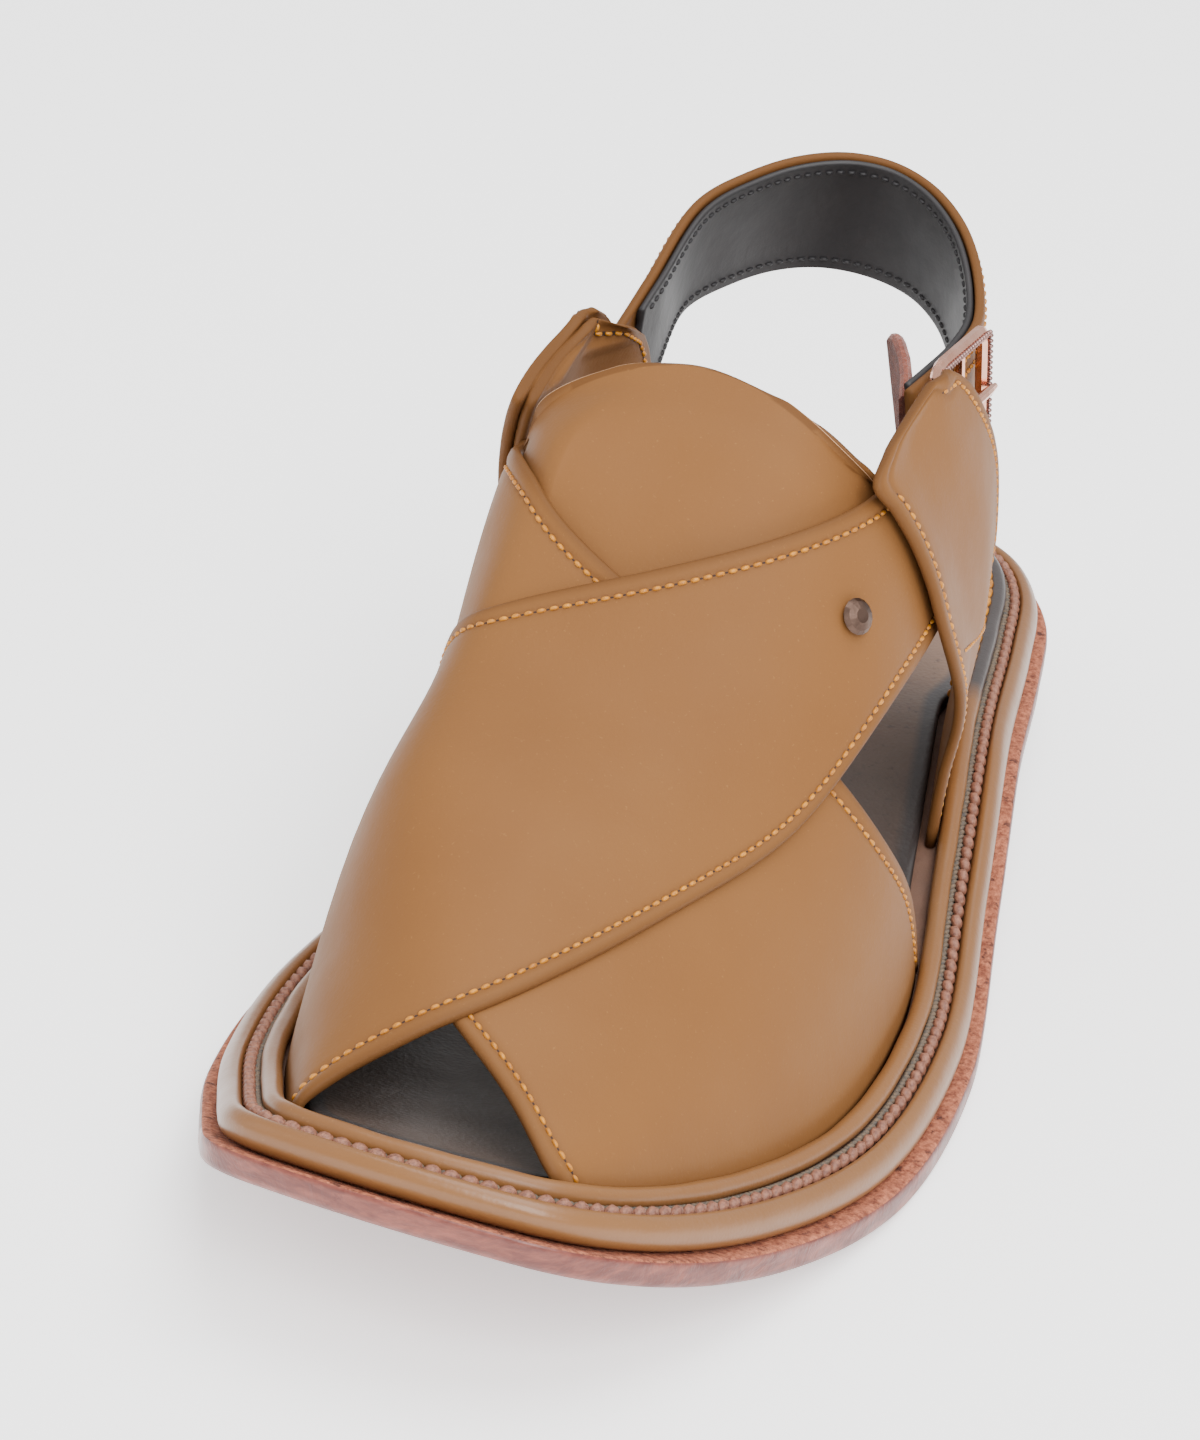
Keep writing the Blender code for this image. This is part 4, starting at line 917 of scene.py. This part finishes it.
class Stitches:
    """Collects capsules and needle holes, each kind for one mesh."""

    def __init__(self):
        self.points = {kind: [] for kind in STITCH_PIECES}
        self.faces = {kind: [] for kind in STITCH_PIECES}

    def add(self, kind, points, faces):
        start = sum(len(p) for p in self.points[kind])
        self.points[kind].append(points)
        self.faces[kind] += [tuple(start + i for i in face) for face in faces]

    def capsule(self, kind, centre, along, up, length, radius):
        """A capsule along a direction, sunk at its ends."""
        turn = 2 * np.pi * np.arange(CAPSULE_SIDES)[:, None] / CAPSULE_SIDES
        around = np.cos(turn) * np.cross(along, up) + np.sin(turn) * up
        self.add(kind, np.vstack([
            centre + along * (a * length) + up * (lift * radius) + radius * r * around
            for a, r, lift in CAPSULE
        ]), CAPSULE_FACES)

    def hole(self, centre, along, up, length):
        """A needle hole: a dark, low eight-sided cone on the leather."""
        turn = 2 * np.pi * np.arange(HOLE_SIDES)[:, None] / HOLE_SIDES
        side = np.cross(along, up) * HOLE_WIDTH
        rim = centre + (np.cos(turn) * along * length + np.sin(turn) * side) / 2 - up * 0.05
        self.add("hole", np.vstack([rim, centre + up * 0.10]), HOLE_FACES)

    def row(self, points, normals, kind="thread", pitch=2.2, length=1.55, radius=0.39,
            holes=True, sewn=(0.0, 1.0), lean=0.0):
        """Stitches at a pitch along a line, over the sewn share of it."""
        run = run_of(points)
        begin, end = sewn[0] * run[-1], sewn[1] * run[-1]
        count = max(1, int(round((end - begin) / pitch)))
        pitch = (end - begin) / count
        for n in range(count):
            at = [begin + (n + s) * pitch for s in (0.0, 0.5, 1.0)]
            a, middle, b = (np.array([np.interp(x, run, points[:, k]) for k in range(3)]) for x in at)
            up = unit(np.array([np.interp(at[1], run, normals[:, k]) for k in range(3)]))
            along = unit(b - a)
            up = unit(up - along * np.dot(up, along))
            turned = along * math.cos(lean) + np.cross(up, along) * math.sin(lean)
            self.capsule(kind, middle, turned, up, length, radius)
            if holes:
                self.hole(b, along, up, pitch - length + 0.45)

    def build(self):
        return {
            kind: mesh_object(name, np.vstack(self.points[kind]), self.faces[kind], [kind])
            for kind, (name, _) in STITCH_PIECES.items()
        }


# Sole

def sole_path(inset, height):
    outline = ring(inset)
    return np.column_stack([outline, sole_top(outline[:, 1]) + height])


# sections of the sole's layers: inset from the outsole's edge, height over the layer's base
OUTSOLE_EDGE = [
    (3.0, 0.0), (1.2, 0.0), (0.5, 0.25), (0.1, 0.8), (0.0, 1.4), (0.05, 2.6), (0.0, 3.8), (0.1, 4.5),
    (0.35, 4.9), (0.8, 5.15), (1.6, 5.2), (2.6, 5.15), (4.6, 5.15),
]
BAND_CROWN = [
    (4.4, 0.3), (3.3, 0.8), (2.7, 1.9), (2.6, 3.0), (2.8, 4.3), (3.5, 5.6), (4.4, 6.5), (5.2, 6.8),
    (5.9, 6.6), (6.4, 5.7), (6.6, 4.6),
]
BAND_INSIDE = [(6.9, 4.35), (7.9, 4.3), (8.9, 4.35), (9.3, 4.7), (9.8, 5.35), (13.6, 5.4)]
INSOLE_EDGE = [
    (17.1, 5.75), (16.6, 6.1), (16.5, 6.8), (16.5, 7.9), (16.7, 8.35), (17.2, 8.6), (18.1, 8.65),
    (19.0, 8.6),
]
# how much further out the insole reaches at the seat
SEAT_WIDER = 3.4
LEDGE_INSET, LEDGE_HEIGHT = 0.3, 4.6
# where the band's leather ends and the groove's floor begins
GROOVE_INSET = 6.55


def edge_or_flesh(one, two):
    """The outsole's upper ledge shows its flesh side."""
    return int(min(one[0], two[0]) >= LEDGE_INSET and one[1] > LEDGE_HEIGHT)


sole = slab("outsole_dressed", OUTSOLE_EDGE, sole_bottom, ["edge", "flesh"], edge_or_flesh)
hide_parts("outsole")
band = spline(np.array(BAND_CROWN), 3)
edge = [tuple(p) for p in band] + BAND_INSIDE
midsole = slab(
    "midsole_dressed", edge, sole_top, ["band", "groove"], lambda one, two: int(one[0] >= GROOVE_INSET))
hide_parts("midsole")
insole = slab("insole_dressed", INSOLE_EDGE, sole_top, ["insole"], lambda a, b: 0, 1.0, SEAT_WIDER)
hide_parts("insole")

path = sole_path(11.2, 7.7)
run = np.arange(len(path))
radii = 1.75 + 0.05 * np.sin(run * 0.37) * np.sin(run * 0.11) + 0.04 * np.sin(run * 0.83 + 1.0)
piping = tube("rand_piping_dressed", path, radii, "piping")
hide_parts("rand_piping")


def heel_outline(inset):
    """D-shaped outline of the heel block: medial side, heel, lateral side and the hollow breast."""
    sides = []
    for half in halves(inset):
        start = [[np.interp(BREAST_Y, half[:, 1], half[:, 0]), BREAST_Y]]
        sides.append(resample(np.vstack([start, half[half[:, 1] > BREAST_Y + 3]]), 61))
    side = np.vstack([sides[0], sides[1][::-1][1:]])
    s = np.linspace(0, 1, 31)[1:-1, None]
    breast = side[-1] * (1 - s) + side[0] * s + np.array([[0, 1]]) * 4 * s * (1 - s) * BREAST_HOLLOW
    return np.vstack([side, breast])


def heel_piece():
    """The block under the heel with a softened lower edge, standing flat on the floor."""
    rings = []
    for inset, height in HEEL_SIDE:
        outline = heel_outline(inset)
        top = sole_bottom(outline[:, 1]) - GAP
        rings.append(np.column_stack([outline, np.where(height is None, top, height or 0.0)]))
    count = len(rings[0])
    faces = lathe_faces(count, len(rings))
    faces += [tuple(range(count)), tuple(range((len(rings) - 1) * count, len(rings) * count))]
    made = mesh_object("heel_block_dressed", np.vstack(rings), faces, ["heel"])
    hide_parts("heel_block")


# inset and height of the heel block's rings; None stands for the outsole's underside
HEEL_SIDE = [(3.0, 0.0), (2.15, 0.0), (1.6, 0.3), (1.3, 0.7), (1.2, 1.2), (1.2, None), (1.6, None)]
heel_piece()

# Upper

stitch = Stitches()
under = crossing_strap("under_strap", UNDER_FRONT, UNDER_REAR, 0.0)
top = crossing_strap("top_strap", TOP_FRONT, TOP_REAR, LAYER)
medial = side_panel("medial_panel", MEDIAL_PANEL, -1, MEDIAL_OFFSETS)
lateral = side_panel("lateral_panel", LATERAL_PANEL, 1, LATERAL_OFFSETS)
facing = side_panel("medial_facing", MEDIAL_FACING, -1, FACING_OFFSETS)
for sheet in (under, top, medial, lateral, facing):
    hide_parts("upper")
tongue_piece()
strap = back_strap("heel_strap_dressed", 0.0, STRAP_WALL, ["tan", "tan"], 0.0, 0, 8)
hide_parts("heel_strap")
lining = back_strap(
    "heel_strap_lining_dressed", STRAP_WALL + GAP, LINING_WALL, ["strap_lining", "strap_lining"], 0.02, 3, 14)
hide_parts("heel_strap_lining")

# sheet, face, edge of the sheet, share of the edge's length that is sewn
SEWN = [
    (under, "outer", "first", (0.015, 0.50)), (under, "outer", "last", (0.015, 0.76)),
    (top, "outer", "first", (0.012, 0.93)), (top, "outer", "last", (0.012, 0.93)),
    (medial, "outer", "first", (0.03, 0.985)), (medial, "outer", "last", (0.03, 0.985)),
    (lateral, "outer", "first", (0.03, 0.70)), (lateral, "outer", "last", (0.03, 0.96)),
    (facing, "inner", "last", (0.10, 0.985)), (lateral, "inner", "last", (0.03, 0.97)),
]
for sheet, face, which, sewn in SEWN:
    stitch.row(*row_of(sheet, STITCH_INSET, which, face), sewn=sewn)
anchors = [nearest_on(lateral, y, z, 1) for y, z in LATERAL_DIAGONAL]
points, normals = (np.array(part) for part in zip(*anchors))
stitch.row(spline(points, 12), resample(normals, 12 * len(points) - 11), "thread", 2.4, 1.5, 0.3)
for which in ("first", "last"):
    for inset in (2.6, 5.4):
        stitch.row(*row_of(strap, inset, which), sewn=(0.02, 0.98))
    stitch.row(*row_of(lining, 2.4, which, "inner"), "dark_thread", sewn=(0.02, 0.98), holes=False)

# Welt cord and insole stitches

path = sole_path(7.6, 6.0)
up = np.tile([0.0, 0.0, 1.0], (len(path) + 1, 1))
stitch.row(np.vstack([path, path[:1]]), up, "bead", 3.0, 3.1, 1.0, holes=False, lean=0.32)
path = sole_path(9.05, 6.1)
stitch.row(np.vstack([path, path[:1]]), up, "strand", 1.2, 1.7, 0.5, holes=False, lean=-0.75)
outline = ring(12.8)
seat = outline[outline[:, 1] > 208]
start = int(np.argmax(np.linalg.norm(np.diff(np.vstack([seat, seat[:1]]), axis=0), axis=1))) + 1
seat = np.roll(seat, -start, axis=0)
seat = np.column_stack([seat, sole_top(seat[:, 1]) + 8.9])
stitch.row(seat, up[:len(seat)], "thread", 4.0, 3.3, 0.62)

# Buckle, pad and stud


def buckle_beads():
    """A beaded line along the outer face of the buckle's frame."""
    out = unit(np.array([1.0, BUCKLE["turn"], BUCKLE["lean"]]))
    along = unit(np.cross([0, 0, 1.0], out))
    up = np.cross(out, along)
    half_long, half_tall = ((BUCKLE[side] - BUCKLE["bar"]) / 2 for side in ("long", "tall"))
    origin = np.array([BUCKLE[axis] for axis in "xyz"]) + out * (BUCKLE["depth"] + 0.05)
    corners = [(-1, 1), (1, 1), (1, -1), (-1, -1), (-1, 1)]
    path = np.array([origin + along * a * half_long + up * b * half_tall for a, b in corners])
    path = resample(path, 200)
    stitch.row(path, np.tile(out, (len(path), 1)), "stud_bead", 1.05, 0.95, 0.5, holes=False)


KEPT_LOOKS = {"buckle_frame": "copper", "buckle_pin": "copper", "buckle_pad": "suede", "stud": "bronze"}
for node, look in KEPT_LOOKS.items():
    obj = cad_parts[node]
    obj.data.materials.clear()
    obj.data.materials.append(LOOKS[look])

buckle_beads()
made = stitch.build()
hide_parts("welt_cord")

# Floor, light and camera
FLOOR_HALF, LIGHT_TARGET = 6.0, (0, 0, 0.05)

def stage_floor():
    mesh = bpy.data.meshes.new("floor")
    corners = [(x * FLOOR_HALF, y * FLOOR_HALF, 0) for x, y in ((-1, -1), (1, -1), (1, 1), (-1, 1))]
    mesh.from_pydata(corners, [], [(0, 1, 2, 3)])
    look = Shader("floor_paper", 0.9)
    look.finish(srgb(252, 252, 252), Emission_Color=(1, 1, 1, 1), Emission_Strength=0.8)
    mesh.materials.append(look.material)
    floor = add_object("floor", mesh)


def area_light(name, at, size, power):
    lamp = bpy.data.lights.new(name, "AREA")
    lamp.shape = "RECTANGLE"
    lamp.size, lamp.size_y = size
    lamp.energy = power
    obj = add_object(name, lamp)
    obj.location = at
    obj.rotation_euler = (Vector(LIGHT_TARGET) - Vector(at)).to_track_quat("-Z", "Y").to_euler()


def camera():
    """The photo's camera, turned to put this shoe in the middle and brought closer by its lens."""
    heading, pitch, roll = (math.radians(a) for a in (CAMERA_HEADING, CAMERA_PITCH, CAMERA_ROLL))
    level = math.cos(pitch)
    forward = Vector((-math.sin(heading) * level, math.cos(heading) * level, -math.sin(pitch)))
    right = Vector((math.cos(heading), math.sin(heading), 0))
    up = right.cross(forward)
    right, up = right * math.cos(roll) + up * math.sin(roll), up * math.cos(roll) - right * math.sin(roll)
    dx, dy = CAMERA_PIXEL[0] - PHOTO_CENTRE[0], CAMERA_PIXEL[1] - PHOTO_CENTRE[1]
    aim = (forward * PHOTO_FOCAL + right * dx - up * dy).normalized()
    turn = forward.rotation_difference(aim)
    right, up = turn @ right, turn @ up
    data = bpy.data.cameras.new("photo_camera")
    data.sensor_fit = "VERTICAL"
    data.sensor_height = 36.0
    data.lens = PHOTO_FOCAL / 1440 * 36.0 * CLOSER
    data.clip_start, data.clip_end = 0.05, 20
    obj = add_object("photo_camera", data)
    matrix = Matrix((right, up, -aim)).transposed().to_4x4()
    matrix.translation = Vector(place(CAMERA_PLACE))
    obj.matrix_world = matrix
    bpy.context.scene.camera = obj


stage_floor()
area_light("key", (0.8, -1.1, 1.3), (1.1, 1.1), 40)
area_light("top", (0.3, 0.2, 1.8), (1.4, 1.4), 33)
area_light("fill", (-1.3, -0.6, 0.9), (1.2, 1.0), 4)
world = bpy.data.worlds.new("studio")
world.use_nodes = True
world.node_tree.nodes["Background"].inputs["Color"].default_value = (1, 1, 1, 1)
world.node_tree.nodes["Background"].inputs["Strength"].default_value = 1.0
bpy.context.scene.world = world
camera()
